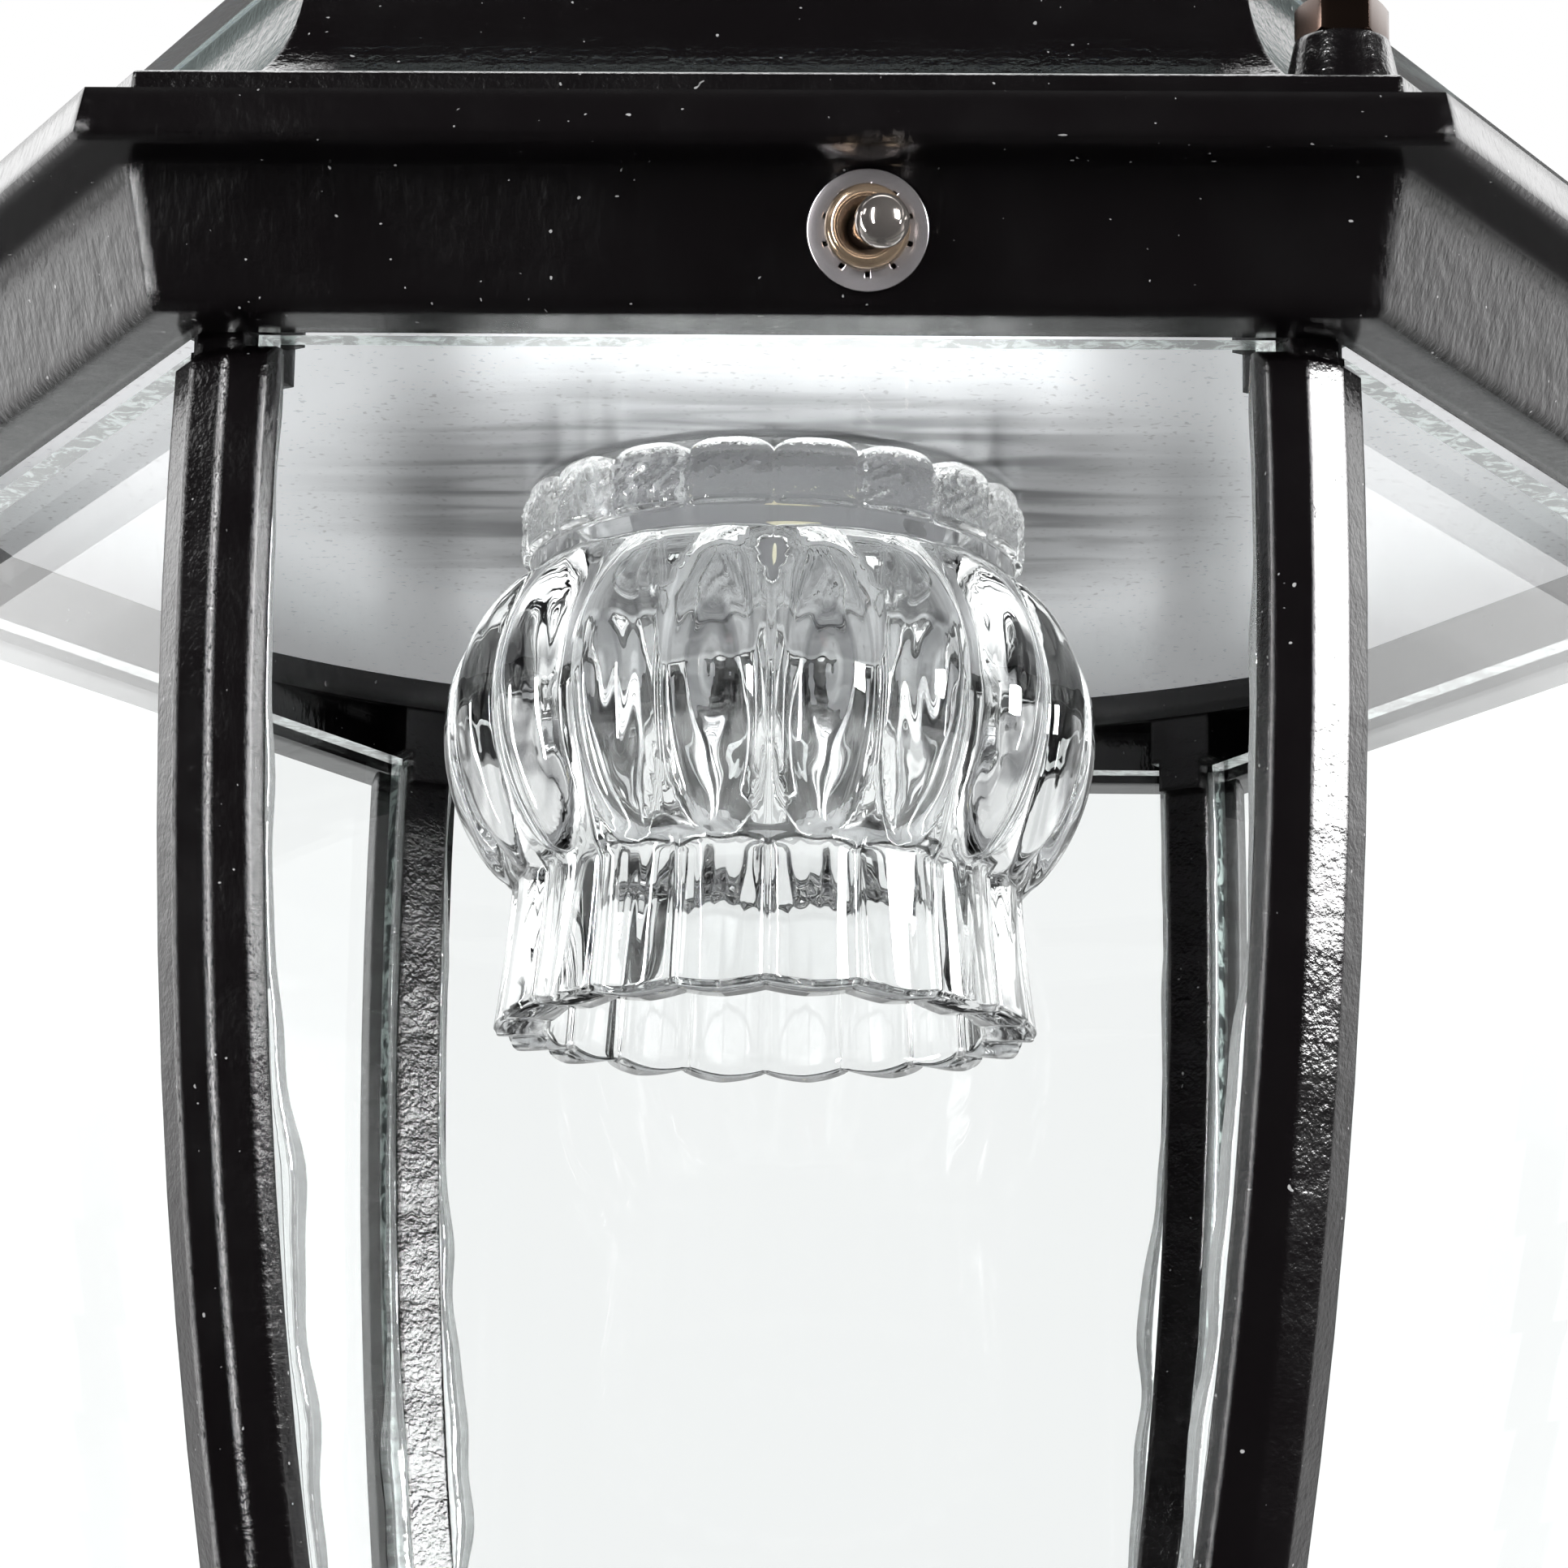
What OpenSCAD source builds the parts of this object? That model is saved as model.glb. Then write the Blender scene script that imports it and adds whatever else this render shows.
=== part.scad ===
// Six-sided solar pillar light: cast lantern with bent glass panes, a pressed glass
// light cup under a mirror plate, a toggle switch and a roof of solar panels.
// Millimetres, +Z up, front face towards -Y, origin where the base stands on the pillar.

/* [Pier base] */
// Height of the pier base, from the pillar to the cage floor
base_h = 70; // [64:1:90]
// Radius of the flange that stands on the pillar
flange_r = 76; // [74:1:90]
// Thickness of the flange
flange_t = 6; // [5:0.5:9]
// Width of the flange's flat ring
flange_w = 22; // [18:1:24]
// Radius of the narrow neck
neck_r = 24; // [22:1:28]
// Radius of the pad that carries the cage
pad_r = 50; // [46:1:51]
// Thickness of the pad at its edge
pad_t = 6; // [5:0.5:8]
// Wall thickness of the hollow base casting
base_wall = 4; // [3:0.5:5]
// Distance of the pillar screw holes from the axis
pillar_screw_at = 63; // [62:1:66]
// Number of pillar screw holes
pillar_screws = 4; // [3:1:6]
// Radius of a pillar screw hole
pillar_hole_r = 3.25; // [2.5:0.25:4]
// Distance of the screws that hold the cage on the base from the axis
base_screw_at = 32; // [30:1:36]
// Number of those screws
base_screw_count = 3; // [3:1:6]
// Thread radius of those screws
base_screw_r = 2.5; // [2:0.5:3]

/* [Cage] */
// Height of the six-sided bottom ring of the cage
cage_ring_h = 18; // [16:1:24]
// Thickness of the cage floor
floor_t = 3.5; // [3:0.5:5]
// Height of the plain foot under the moulding of the bottom ring
cage_foot_h = 4; // [3:0.5:5]
// Height of that moulding
cage_bead_h = 8.5; // [6.5:0.5:9]
// How far the moulding stands out
cage_bead_out = 4; // [2:0.5:6]
// How far the bottom ring stands out past the feet of the panes
cage_foot_out = 3; // [2.5:0.5:5]
// Width of the ledge under the panes
cage_ledge_w = 7; // [6:0.5:8]
// Radius of the drain hole in the cage floor
drain_r = 4; // [2:0.5:6]
// Height of a rib between the bottom ring and its shoulder under the top ring
rib_h = 204; // [180:1:220]
// Radius of the rib noses where the cage is fullest
belly_r = 109.3; // [100:0.1:120]
// How far the fullest place lies under the lip of the top ring
belly_drop = 24; // [16:1:36]
// Radius of the arc that the ribs and panes follow
belly_arc_r = 370; // [350:1:420]
// Width of each of the three front facets of a rib
rib_facet = 4.1; // [3:0.1:5]
// Chamfer round the top of a rib
rib_chamfer = 1.2; // [0.5:0.1:2]
// Thickness of a rib's legs in front of the glass
rib_leg = 2.1; // [1.5:0.1:3]
// Thickness of the web between two panes
web_w = 6; // [5.6:0.1:7]
// Depth of the web behind the nose
web_depth = 7; // [6:0.5:9]
// Gap between the shoulders of the ribs and the lip of the top ring
shoulder_gap = 1; // [0.5:0.1:2]
// Half width of the lug on top of a rib
lug_half_w = 4.2; // [4:0.1:5]
// Height of the lug above the lip
lug_h = 6.9; // [6:0.1:8]

/* [Panes] */
// Thickness of a glass pane
pane_t = 3; // [2:0.1:4]
// Gap between a pane and the web beside it
pane_side_gap = 0.4; // [0.2:0.1:1]
// Gap between a pane and the ribs' legs in front of it
pane_front_gap = 0.15; // [0.1:0.05:0.4]
// Height of the panes above the lip
pane_rise = 0.5; // [0:0.1:1]
// Depth of the seat that holds the foot of a pane
pane_seat = 4.2; // [3:0.1:6]
// Width of a bead of sealant beside a pane
bead_w = 1.8; // [1:0.1:2.5]
// Thickness of the skin that holds a bead on glass and web
bead_gap = 0.08; // [0.06:0.01:0.2]

/* [Top ring] */
// Gap between the rib noses and the ring's opening
ring_gap = 1.1; // [0.9:0.1:2]
// Width of the ring's lower lip
lip_w = 7.2; // [6.5:0.1:8]
// Height of the tapered skirt
skirt_h = 13.4; // [13:0.1:16]
// How far the skirt flares out towards its top
skirt_flare = 3.5; // [2:0.1:5]
// How far the eave moulding stands out past the skirt
eave_out = 7.1; // [5:0.1:9]
// Height of the eave moulding
eave_h = 5.5; // [4:0.1:8]
// How far the eave moulding draws in towards its top
eave_taper = 1.2; // [0.5:0.1:2]
// Height of the plate seat above the lip
plate_seat = 10.8; // [10.4:0.1:11.5]
// Wall of the ring beside the plate
ring_wall = 3.2; // [2.8:0.1:4]
// Distance from the rib noses in to the inner side of the corner ears
ear_in = 10; // [9:0.1:10.5]
// Distance from the rib noses in to the screws through plate, ear and lug
ear_screw_in = 5.5; // [5:0.1:6]
// Thread radius of those screws
ear_screw_r = 2; // [1.5:0.1:2]
// Distance from the rib noses out to the roof studs
stud_out = 3.5; // [3.1:0.1:3.9]
// Thread radius of the roof studs
stud_r = 2.5; // [2:0.1:2.5]
// Radius of the boss round a roof stud
stud_boss_r = 4.5; // [4:0.1:4.8]

/* [Reflector plate] */
// Thickness of the mirror plate
plate_t = 1.2; // [0.8:0.1:2]
// Gap between the plate and the ring round it
plate_gap = 0.4; // [0.2:0.1:0.6]
// Distance from the rib noses in to the cut corners of the plate
plate_corner_in = 1.7; // [1.5:0.1:2]

/* [Glass cup] */
// How far the cup stands off the axis, to the left, as it is glued by hand
cup_aside = 2.1; // [0:0.1:3]
// How far the cup is turned out of square, as it is glued by hand
cup_turn = -3; // [-10:0.5:10]
// Number of broad lobes round the cup, each split in two by a shallow groove
lobes = 9; // [6:1:10]
// Height of the cup from its rim to its neck
cup_h = 62.6; // [56:0.1:70]
// Radius of the cup's neck
cup_neck_r = 29; // [27:0.1:31]
// Height of the band of flat windows on the neck
window_h = 7.4; // [6:0.1:9]
// Height of the plain band under the windows
band_h = 3; // [2:0.1:4]
// Radius of the lobes where the cup is fullest
cup_belly_r = 37.4; // [35:0.1:40]
// Height of the lobed belly
cup_belly_h = 35; // [30:0.1:38]
// Radius of the waist under the belly
cup_waist_r = 29.4; // [28:0.1:31]
// Radius of the rim
cup_rim_r = 31.2; // [30:0.1:33]
// Radius of the cup's mouth
cup_mouth_r = 24.1; // [22:0.1:25]
// Wall thickness of the belly between the lobes
cup_wall = 3.6; // [3:0.1:4.5]
// Depth of the grooves between the broad lobes
groove = 3; // [1.5:0.1:3.2]
// Depth of the shallow groove in the middle of a lobe
half_groove = 1.1; // [0.6:0.1:1.4]
// Depth of the scallops in the rim
rim_scallop = 0.6; // [0:0.1:1]
// Thickness of the clear seal between cup and plate
cup_seal_t = 0.5; // [0.3:0.1:1]

/* [Light and power] */
// Radius of the light board inside the cup's neck
led_board_r = 19; // [16:0.5:21]
// Thickness of the circuit boards
board_t = 1.6; // [1:0.1:2]
// Radius of the dome over the light chip
led_dome_r = 3.5; // [2.5:0.5:6]
// Length of a battery cell
cell_len = 65; // [50:1:70]
// Radius of a battery cell
cell_r = 9.1; // [7:0.1:10]
// Distance between the two cells' axes
cell_pitch = 20; // [19:0.1:24]
// Thickness of the battery tray's floor and walls
tray_t = 2; // [1.5:0.1:3]
// Length of the control board
board_l = 56; // [44:1:64]
// Width of the control board
board_w = 30; // [24:1:34]
// Distance of the control board's middle behind the axis
board_back = 48; // [46:1:52]
// Height of the control board's standoffs
standoff_h = 5; // [3:0.5:8]

/* [Switch] */
// Distance of the switch to the right of the front face's middle
switch_x = 10; // [-20:0.5:20]
// Height of the switch above the lip
switch_up = 7.5; // [7.4:0.1:7.6]
// Radius of the serrated washer
washer_r = 5.85; // [5.4:0.05:5.9]
// Thickness of the washer
washer_t = 0.7; // [0.5:0.1:1]
// Number of notches in the washer
washer_notches = 10; // [8:1:12]
// Radius of the round nut on the bushing
switch_nut_r = 4.05; // [3.8:0.05:4.3]
// Height of the nut
switch_nut_h = 5.4; // [4:0.1:6]
// Thread radius of the bushing
bushing_r = 3; // [2.8:0.1:3.2]
// Panel thickness under the switch
panel_t = 3; // [2.5:0.1:3.5]
// Length of the switch's case along the throw
case_l = 13; // [12:0.1:14]
// Height of the case
case_w = 7.9; // [7:0.1:8]
// Depth of the case behind the panel
case_d = 9.5; // [9:0.1:10]
// Swing of the lever to each side
lever_swing = 9; // [6:0.5:12]
// Radius of the lever's ball tip
lever_tip_r = 2.6; // [1.8:0.1:2.8]
// Length of the lever from its pivot to the middle of the tip
lever_len = 9.4; // [8:0.1:11]
// Radius of the pivot ball
lever_pivot_r = 2; // [1.8:0.05:2.1]
// Radius of the pivot pin through the ball
lever_pin_r = 0.5; // [0.4:0.05:0.7]
// Running clearance of the ball and its pin in the bushing
pivot_gap = 0.05; // [0.03:0.01:0.09]

/* [Roof] */
// How far the roof's flange stands back from the top of the eave
step_back = 5.7; // [5:0.1:7]
// Height of the roof's flange, the top step
step_h = 4.2; // [3:0.1:6]
// How far the flange draws in towards its top
step_taper = 0.4; // [0.2:0.1:1]
// Height of the foot under the cove
foot_h = 0.9; // [0.6:0.1:2]
// Radius of the cove
cove_r = 20; // [16:0.1:21]
// How far the foot under the cove stands back from the edge of the flange
foot_back = 2.4; // [2:0.1:5]
// Slope of the roof under the panels
roof_slope = 30; // [20:1:36]
// Wall thickness of the roof casting
roof_wall = 3; // [2.5:0.1:4]
// Distance from the axis to the edge of the flat crown
crown_a = 24; // [22:0.5:26]
// Width of the bars along the roof's hips
hip_bar_w = 5; // [4:0.1:7]
// Height of the hip bars over the roof
hip_bar_h = 3; // [2.6:0.1:4]
// Height of the cone under an acorn nut
nut_cone_h = 6.2; // [5:0.1:8]
// How far a stud reaches above its cone, into the nut
stud_end = 5.6; // [4:0.1:6]
// Width of an acorn nut across its flats
nut_across = 8; // [7.4:0.1:8.4]
// Height of its six-sided part
nut_h = 4; // [3:0.1:5]
// Radius of its dome
nut_dome_r = 3.45; // [3.2:0.05:3.6]

/* [Solar panels] */
// Thickness of a panel, glass and backing together
panel_thick = 2; // [1.5:0.1:2.5]
// How far a panel stands out past the cove
panel_overhang = 1.5; // [0:0.1:2]
// Gap between a panel and the hip bars
panel_gap = 0.3; // [0.2:0.1:0.6]

/* [Cap and finial] */
// Distance from the axis to the edge of the cap
cap_a = 32; // [30:0.5:36]
// Height of the cap's edge
cap_edge_h = 3; // [2:0.1:4]
// Radius of the hollow sweep of the cap
cap_sweep_r = 15; // [12:0.5:17]
// Height of the cap's top block
cap_block_h = 3; // [2:0.5:5]
// Radius of the finial's ball
finial_ball_r = 9; // [7:0.5:11]
// Radius of the finial's foot
finial_foot_r = 12; // [10:0.5:13]
// Height of the finial's tip above its ball
finial_tip_h = 12; // [8:0.5:16]
// Thread radius of the finial's stud
finial_stud_r = 3; // [2.5:0.1:3]
// How deep that stud goes into the roof's crown and into the finial
finial_stud_in = 12; // [8:1:12]

/* [Hidden] */
$fn = 48;
// A hair past a face that a cut goes through
eps = 0.01;
// Half the angle of one side of the six-sided plan
half_side = 30;
cos_half = cos(half_side);
// Angles of the side faces from +X: front, front right, back right, back, back left,
// front left
SIDES = [-90, -30, 30, 90, 150, 210];
// Corners that carry a roof stud and an acorn nut
STUD_CORNERS = [-60, 60, 180];
ALL_CORNERS = [0, 60, 120, 180, 240, 300];

// Past everything sideways
far = 2 * belly_r;
cage_ring_z = base_h + cage_ring_h;
lip_z = cage_ring_z + rib_h + shoulder_gap;
skirt_top_z = lip_z + skirt_h;
eave_top_z = skirt_top_z + eave_h;
step_top_z = eave_top_z + step_h;
foot_top_z = step_top_z + foot_h;
cove_top_z = foot_top_z + cove_r;

// Radius of a rib's nose at a drop under the lip
function nose_at(drop) =
  belly_r - belly_arc_r + sqrt(pow(belly_arc_r, 2) - pow(drop - belly_drop, 2));
// Cosine of the lean of the ribs and panes at a drop under the lip
function lean_cos(drop) = sqrt(1 - pow((drop - belly_drop) / belly_arc_r, 2));

// Where the planes of a rib and its panes lie, past the nose's own distance
bevel_off = rib_facet / 2 * sin(half_side);
seat_off = bevel_off - rib_leg;
pane_off = seat_off - pane_front_gap;
leg_half_w = rib_facet / 2 + rib_facet * cos_half;
ring_open_a = nose_at(0) * cos_half + ring_gap;
skirt_a = ring_open_a + lip_w;
skirt_top_a = skirt_a + skirt_flare;
eave_a = skirt_top_a + eave_out;
eave_top_a = eave_a - eave_taper;
step_a = eave_top_a - step_back;
step_top_a = step_a - step_taper;
foot_a = step_top_a - foot_back;
cove_top_a = foot_a - cove_r - 0.8;
crown_z = cove_top_z + (cove_top_a - crown_a) * tan(roof_slope);
ear_at = nose_at(0) - ear_in;
ear_screw_at = nose_at(0) - ear_screw_in;
stud_at = nose_at(0) + stud_out;
plate_corner_r = nose_at(0) - plate_corner_in;
plate_rebate_a = skirt_a - ring_wall;
plate_z = lip_z + plate_seat;
plate_top_z = plate_z + plate_t;
cup_top_z = plate_z - cup_seal_t;
cup_rim_z = cup_top_z - cup_h;

// Points along an arc from one angle to another
function arc(cx, cy, r, from, to, steps = 10) =
  [for (i = [0:steps]) let (t = from + (to - from) * i / steps)
    [cx + r * cos(t), cy + r * sin(t)]];

// A solid whose level cuts are regular six-sided plans. Each point of its right half
// profile is a distance to the side faces and a height.
module six_sided(points, reach = 3 * belly_r) {
  left = [for (i = [len(points) - 1:-1:0]) if (points[i].x > 0) [-points[i].x, points[i].y]];
  intersection_for (turn = [0, 60, 120])
    rotate([0, 0, turn + half_side])
      rotate([90, 0, 0])
        linear_extrude(height = reach, center = true)
          polygon(concat(points, left));
}

// A prism along one direction whose outer side follows the arc of the ribs, upright
// from the drop called stop
module bellied(turn, off, top, bottom, reach, thick = 0, stop = 1000) {
  steps = 18;
  drops = [for (i = [0:steps]) top + (bottom - top) * i / steps];
  outer = [for (d = drops) [nose_at(min(d, stop)) * cos(turn) + off, lip_z - d]];
  inner = thick > 0
    ? [for (i = [steps:-1:0]) let (d = drops[i])
        [nose_at(d) * cos(turn) + off - thick / lean_cos(d), lip_z - d]]
    : [[0, lip_z - bottom], [0, lip_z - top]];
  rotate([0, 0, turn])
    rotate([90, 0, 0])
      linear_extrude(height = 2 * reach, center = true)
        polygon(concat(outer, inner));
}

// Everything between the two corner webs that bound a side face pointing to +X
module side_wedge(off, low, high) {
  size = far;
  intersection() {
    rotate([0, 0, half_side])
      translate([0, -size - off, low])
        cube([size, size, high - low]);
    rotate([0, 0, -half_side])
      translate([0, off, low])
        cube([size, size, high - low]);
  }
}

// Screw with a round head, its head's seat at the origin and its shank downwards
module round_screw(r, length, head_r, head_h) {
  translate([0, 0, -length])
    cylinder(r = r, h = length + eps);
  rotate_extrude()
    polygon(concat([[0, 0], [head_r, 0]],
      [for (i = [0:6]) let (t = 15 * i)
        [(head_r - 0.6) * cos(t) + (i == 0 ? 0.3 : 0), 0.5 + (head_h - 0.5) * sin(t)]]));
}

// Cast base, hollow from below, with a flange for the pillar and a pad for the cage
module pier_base() {
  cove_x = flange_r - flange_w;
  cove_w = cove_x - neck_r;
  cove_z = 46;
  cove_rise = cove_z - flange_t;
  flare_z = cove_z + 4;
  flare_w = 20;
  flare_h = base_h - pad_t - flare_z;
  color("#161616")
  difference() {
    union() {
      rotate_extrude()
        polygon(concat([[0, 0], [flange_r - 0.8, 0], [flange_r, 0.8]],
          [[flange_r, flange_t - 1.5], [flange_r - 1.5, flange_t]],
          [for (t = [90:-9:0]) [cove_x - cove_w * cos(t), cove_z - cove_rise * sin(t)]],
          [for (t = [0:9:90])
            [neck_r + flare_w - flare_w * cos(t), flare_z + flare_h * sin(t)]],
          [[pad_r, base_h - pad_t], [pad_r, base_h], [0, base_h]]));
      translate([0, 0, (cove_z + flare_z) / 2])
        rotate_extrude()
          translate([neck_r, 0])
            circle(r = 2.6, $fn = 24);
    }
    rotate_extrude()
      polygon(concat([[0, -1], [cove_x, -1]],
        [for (t = [90:-9:0])
          [cove_x - (cove_w + base_wall) * cos(t),
           cove_z - (cove_rise + base_wall) * sin(t)]],
        [[neck_r - base_wall, base_h - pad_t - 4], [0, base_h - pad_t - 4]]));
    for (i = [0:pillar_screws - 1])
      rotate([0, 0, (i + 0.5) * 360 / pillar_screws])
        translate([pillar_screw_at, 0, -1])
          cylinder(r = pillar_hole_r, h = flange_t + 20);
    at_base_screws()
      translate([0, 0, base_h - 9])
        cylinder(r = base_screw_r, h = 10);
  }
}

module at_base_screws() {
  for (i = [0:base_screw_count - 1])
    rotate([0, 0, 30 + i * 360 / base_screw_count])
      translate([base_screw_at, 0, 0])
        children();
}

module base_screws() {
  color("#8a8a88")
  at_base_screws()
    translate([0, 0, base_h + floor_t])
      round_screw(base_screw_r, floor_t + 8, 4.5, 3);
}

// One rib along +X: three facets in front, two legs over the glass, a web and a lug
module rib() {
  ring_drop = rib_h + shoulder_gap;
  foot = ring_drop + 8;
  side_reach = belly_r * 0.7;
  intersection() {
    difference() {
      intersection() {
        bellied(0, 0, shoulder_gap, foot, side_reach, stop = ring_drop);
        bellied(half_side, bevel_off, shoulder_gap, foot, side_reach, stop = ring_drop);
        bellied(-half_side, bevel_off, shoulder_gap, foot, side_reach, stop = ring_drop);
      }
      intersection() {
        bellied(half_side, seat_off, shoulder_gap - 1, foot + 1, side_reach + 1);
        bellied(-half_side, seat_off, shoulder_gap - 1, foot + 1, side_reach + 1);
      }
    }
    translate([cage_inner_a / 2, -leg_half_w, 0])
      cube([far, 2 * leg_half_w, lip_z]);
    intersection_for (turn = [-half_side, 0, half_side])
      chamfered_top(turn, turn == 0 ? 0 : bevel_off);
  }
  bellied(0, -rib_leg / 2, shoulder_gap, foot, web_w / 2, web_depth);
  intersection() {
    union() {
      translate([ear_at + 0.2, -lug_half_w, lip_z + pane_rise + 0.4])
        cube([nose_at(0) - 1 - ear_at, 2 * lug_half_w, lug_h - pane_rise - 0.4]);
      translate([ear_at + 0.2, -web_w / 2, lip_z - shoulder_gap - 2])
        cube([nose_at(0) - 1 - ear_at, web_w, lug_h + shoulder_gap + 1]);
    }
    for_both_sides_of_corner()
      translate([0, -far / 2, lip_z - lug_h])
        cube([nose_at(0) * cos_half + 0.3, far, 3 * lug_h]);
  }
}

// Room under a shoulder whose edge, on the side that looks along turn, is cut at 45 degrees
module chamfered_top(turn, off) {
  shoulder_z = lip_z - shoulder_gap;
  edge = nose_at(shoulder_gap) * cos(turn) + off - rib_chamfer;
  rotate([0, 0, turn])
    rotate([90, 0, 0])
      linear_extrude(height = far, center = true)
        polygon([[0, 0], [edge + belly_r / 2, 0], [edge + belly_r / 2, shoulder_z - belly_r / 2],
          [edge, shoulder_z], [0, shoulder_z]]);
}

// Meets its child turned to the two faces beside a corner
module for_both_sides_of_corner() {
  intersection() {
    rotate([0, 0, half_side])
      children();
    rotate([0, 0, -half_side])
      children();
  }
}

// Foot ring of the cage, with its mouldings, its floor and the seat of the panes
cage_foot_a = nose_at(rib_h + shoulder_gap) * cos_half + cage_foot_out;
cage_seat_a = nose_at(rib_h + shoulder_gap) * cos_half + pane_off + 0.4;
cage_inner_a = cage_seat_a - cage_ledge_w;

module cage() {
  bead_low = base_h + cage_foot_h;
  bead_top = bead_low + cage_bead_h;
  bead_a = cage_foot_a + cage_bead_out;
  color("#161616")
  difference() {
    union() {
      difference() {
        six_sided([[0, base_h], [cage_foot_a - 1.5, base_h],
            [cage_foot_a - 0.5, bead_low], [bead_a - 1, bead_low + 1],
            [bead_a, bead_low + 2.5], [bead_a, bead_top - 2.5],
            [bead_a - 1, bead_top - 1], [cage_foot_a, bead_top],
            [cage_foot_a - 0.5, cage_ring_z], [0, cage_ring_z]]);
        six_sided([[0, base_h + floor_t], [cage_inner_a, base_h + floor_t],
            [cage_inner_a, cage_ring_z + 1], [0, cage_ring_z + 1]]);
        six_sided([[0, cage_ring_z - pane_seat], [cage_seat_a, cage_ring_z - pane_seat],
            [cage_seat_a, cage_ring_z + 1], [0, cage_ring_z + 1]]);
      }
      for (corner = ALL_CORNERS)
        rotate([0, 0, corner])
          rib();
    }
    at_base_screws()
      translate([0, 0, base_h - 1])
        cylinder(r = base_screw_r, h = floor_t + 2);
    translate([0, 0, base_h - 1])
      cylinder(r = drain_r, h = floor_t + 2);
    at_ear_screws()
      translate([0, 0, lip_z - 1])
        cylinder(r = ear_screw_r, h = lug_h + 2);
  }
}

module at_ear_screws() {
  for (corner = ALL_CORNERS)
    rotate([0, 0, corner])
      translate([ear_screw_at, 0, 0])
        children();
}

// Bent glass pane between two webs, its foot in the cage's seat
module pane(turn) {
  bottom = rib_h + shoulder_gap + pane_seat;
  color("#dfe8e8", 0.35)
  rotate([0, 0, turn])
    intersection() {
      pane_strip(-pane_rise, bottom);
      side_wedge(web_w / 2 + pane_side_gap, lip_z - bottom - 1, lip_z + pane_rise + 1);
    }
}

module pane_strip(top, bottom) {
  steps = 18;
  drops = [for (i = [0:steps]) top + (bottom - top) * i / steps];
  function face_at(d) = nose_at(d) * cos_half + pane_off;
  rotate([90, 0, 0])
    linear_extrude(height = far, center = true)
      polygon(concat(
        [for (d = drops) [face_at(d), lip_z - d]],
        [for (i = [steps:-1:0]) let (d = drops[i])
          [face_at(d) - pane_t / lean_cos(d), lip_z - d]]));
}

// Two thin beads of sealant on each pane, in the corner between glass and web
module pane_sealant() {
  bottom = rib_h + shoulder_gap - 1;
  steps = 18;
  drops = [for (i = [0:steps]) i * bottom / steps];
  function back_at(d) =
    nose_at(d) * cos_half + pane_off - pane_t / lean_cos(d) - bead_gap;
  color("#c9cccb", 0.6)
  for (turn = SIDES)
    rotate([0, 0, turn])
      intersection() {
        rotate([90, 0, 0])
          linear_extrude(height = far, center = true)
            polygon(concat(
              [for (d = drops) [back_at(d), lip_z - d]],
              [for (i = [steps:-1:0]) [back_at(drops[i]) - bead_w, lip_z - drops[i]]]));
        difference() {
          side_wedge(web_w / 2 + bead_gap, lip_z - bottom, lip_z);
          side_wedge(web_w / 2 + bead_w, lip_z - bottom - 1, lip_z + 1);
        }
      }
}

// Cast top ring: tapered skirt, eave moulding, plate seat, corner ears, stud bosses
module top_ring() {
  color("#161616")
  difference() {
    union() {
      difference() {
        six_sided([[0, lip_z], [skirt_a - 0.8, lip_z], [skirt_a, lip_z + 0.8],
            [skirt_top_a, skirt_top_z], [eave_a - 0.6, skirt_top_z],
            [eave_a, skirt_top_z + 0.6], [eave_top_a, eave_top_z], [0, eave_top_z]]);
        six_sided([[0, lip_z - 1], [ring_open_a, lip_z - 1],
            [ring_open_a, lip_z + lug_h], [0, lip_z + lug_h]]);
        intersection() {
          six_sided([[0, lip_z - 1], [ring_open_a, lip_z - 1],
              [ring_open_a, plate_z + 1], [0, plate_z + 1]]);
          translate([0, 0, lip_z - 1])
            cylinder(r = ear_at, h = plate_seat + 2, $fn = 96);
        }
        six_sided([[0, plate_z], [plate_rebate_a, plate_z],
            [plate_rebate_a, eave_top_z + 1], [0, eave_top_z + 1]]);
      }
      at_studs()
        intersection() {
          translate([0, 0, plate_z - 1])
            cylinder(r = stud_boss_r, h = eave_top_z - plate_z + 1);
          translate([-20, -20, 0])
            cube([40, 40, eave_top_z]);
        }
    }
    at_studs()
      translate([0, 0, plate_z + 0.6])
        cylinder(r = stud_r, h = 20);
    at_ear_screws()
      translate([0, 0, lip_z])
        cylinder(r = ear_screw_r, h = plate_seat + 5);
    at_switch()
      translate([0, 0, -20])
        cylinder(r = bushing_r + 0.1, h = 30);
    at_switch()
      translate([-case_l / 2 - 0.5, -case_w / 2 - 0.5, -panel_t - 20])
        cube([case_l + 1, case_w + 1, 20]);
  }
}

module at_studs() {
  for (corner = STUD_CORNERS)
    rotate([0, 0, corner])
      translate([stud_at, 0, 0])
        children();
}

module ring_screws() {
  color("#8a8a88")
  at_ear_screws()
    translate([0, 0, plate_top_z])
      round_screw(ear_screw_r, plate_t + plate_seat, 3.2, 2.2);
}

// Mirror plate on the ring's seat, cut back for the stud bosses and the switch
module reflector_plate() {
  plate_a = plate_rebate_a - plate_gap;
  notch_l = case_l + 3;
  color("#c9ccd0")
  difference() {
    intersection() {
      six_sided([[0, plate_z], [plate_a, plate_z],
          [plate_a, plate_top_z], [0, plate_top_z]]);
      translate([0, 0, plate_z - 1])
        cylinder(r = plate_corner_r, h = plate_t + 2, $fn = 96);
    }
    at_ear_screws()
      translate([0, 0, plate_z - 1])
        cylinder(r = ear_screw_r, h = plate_t + 2);
    translate([switch_x - notch_l / 2, -plate_a - 1, plate_z - 1])
      cube([notch_l, plate_a - (skirt_a - 20), plate_t + 2]);
    translate([0, 0, plate_z - 1])
      cylinder(r = 4, h = plate_t + 2);
  }
}

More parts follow.
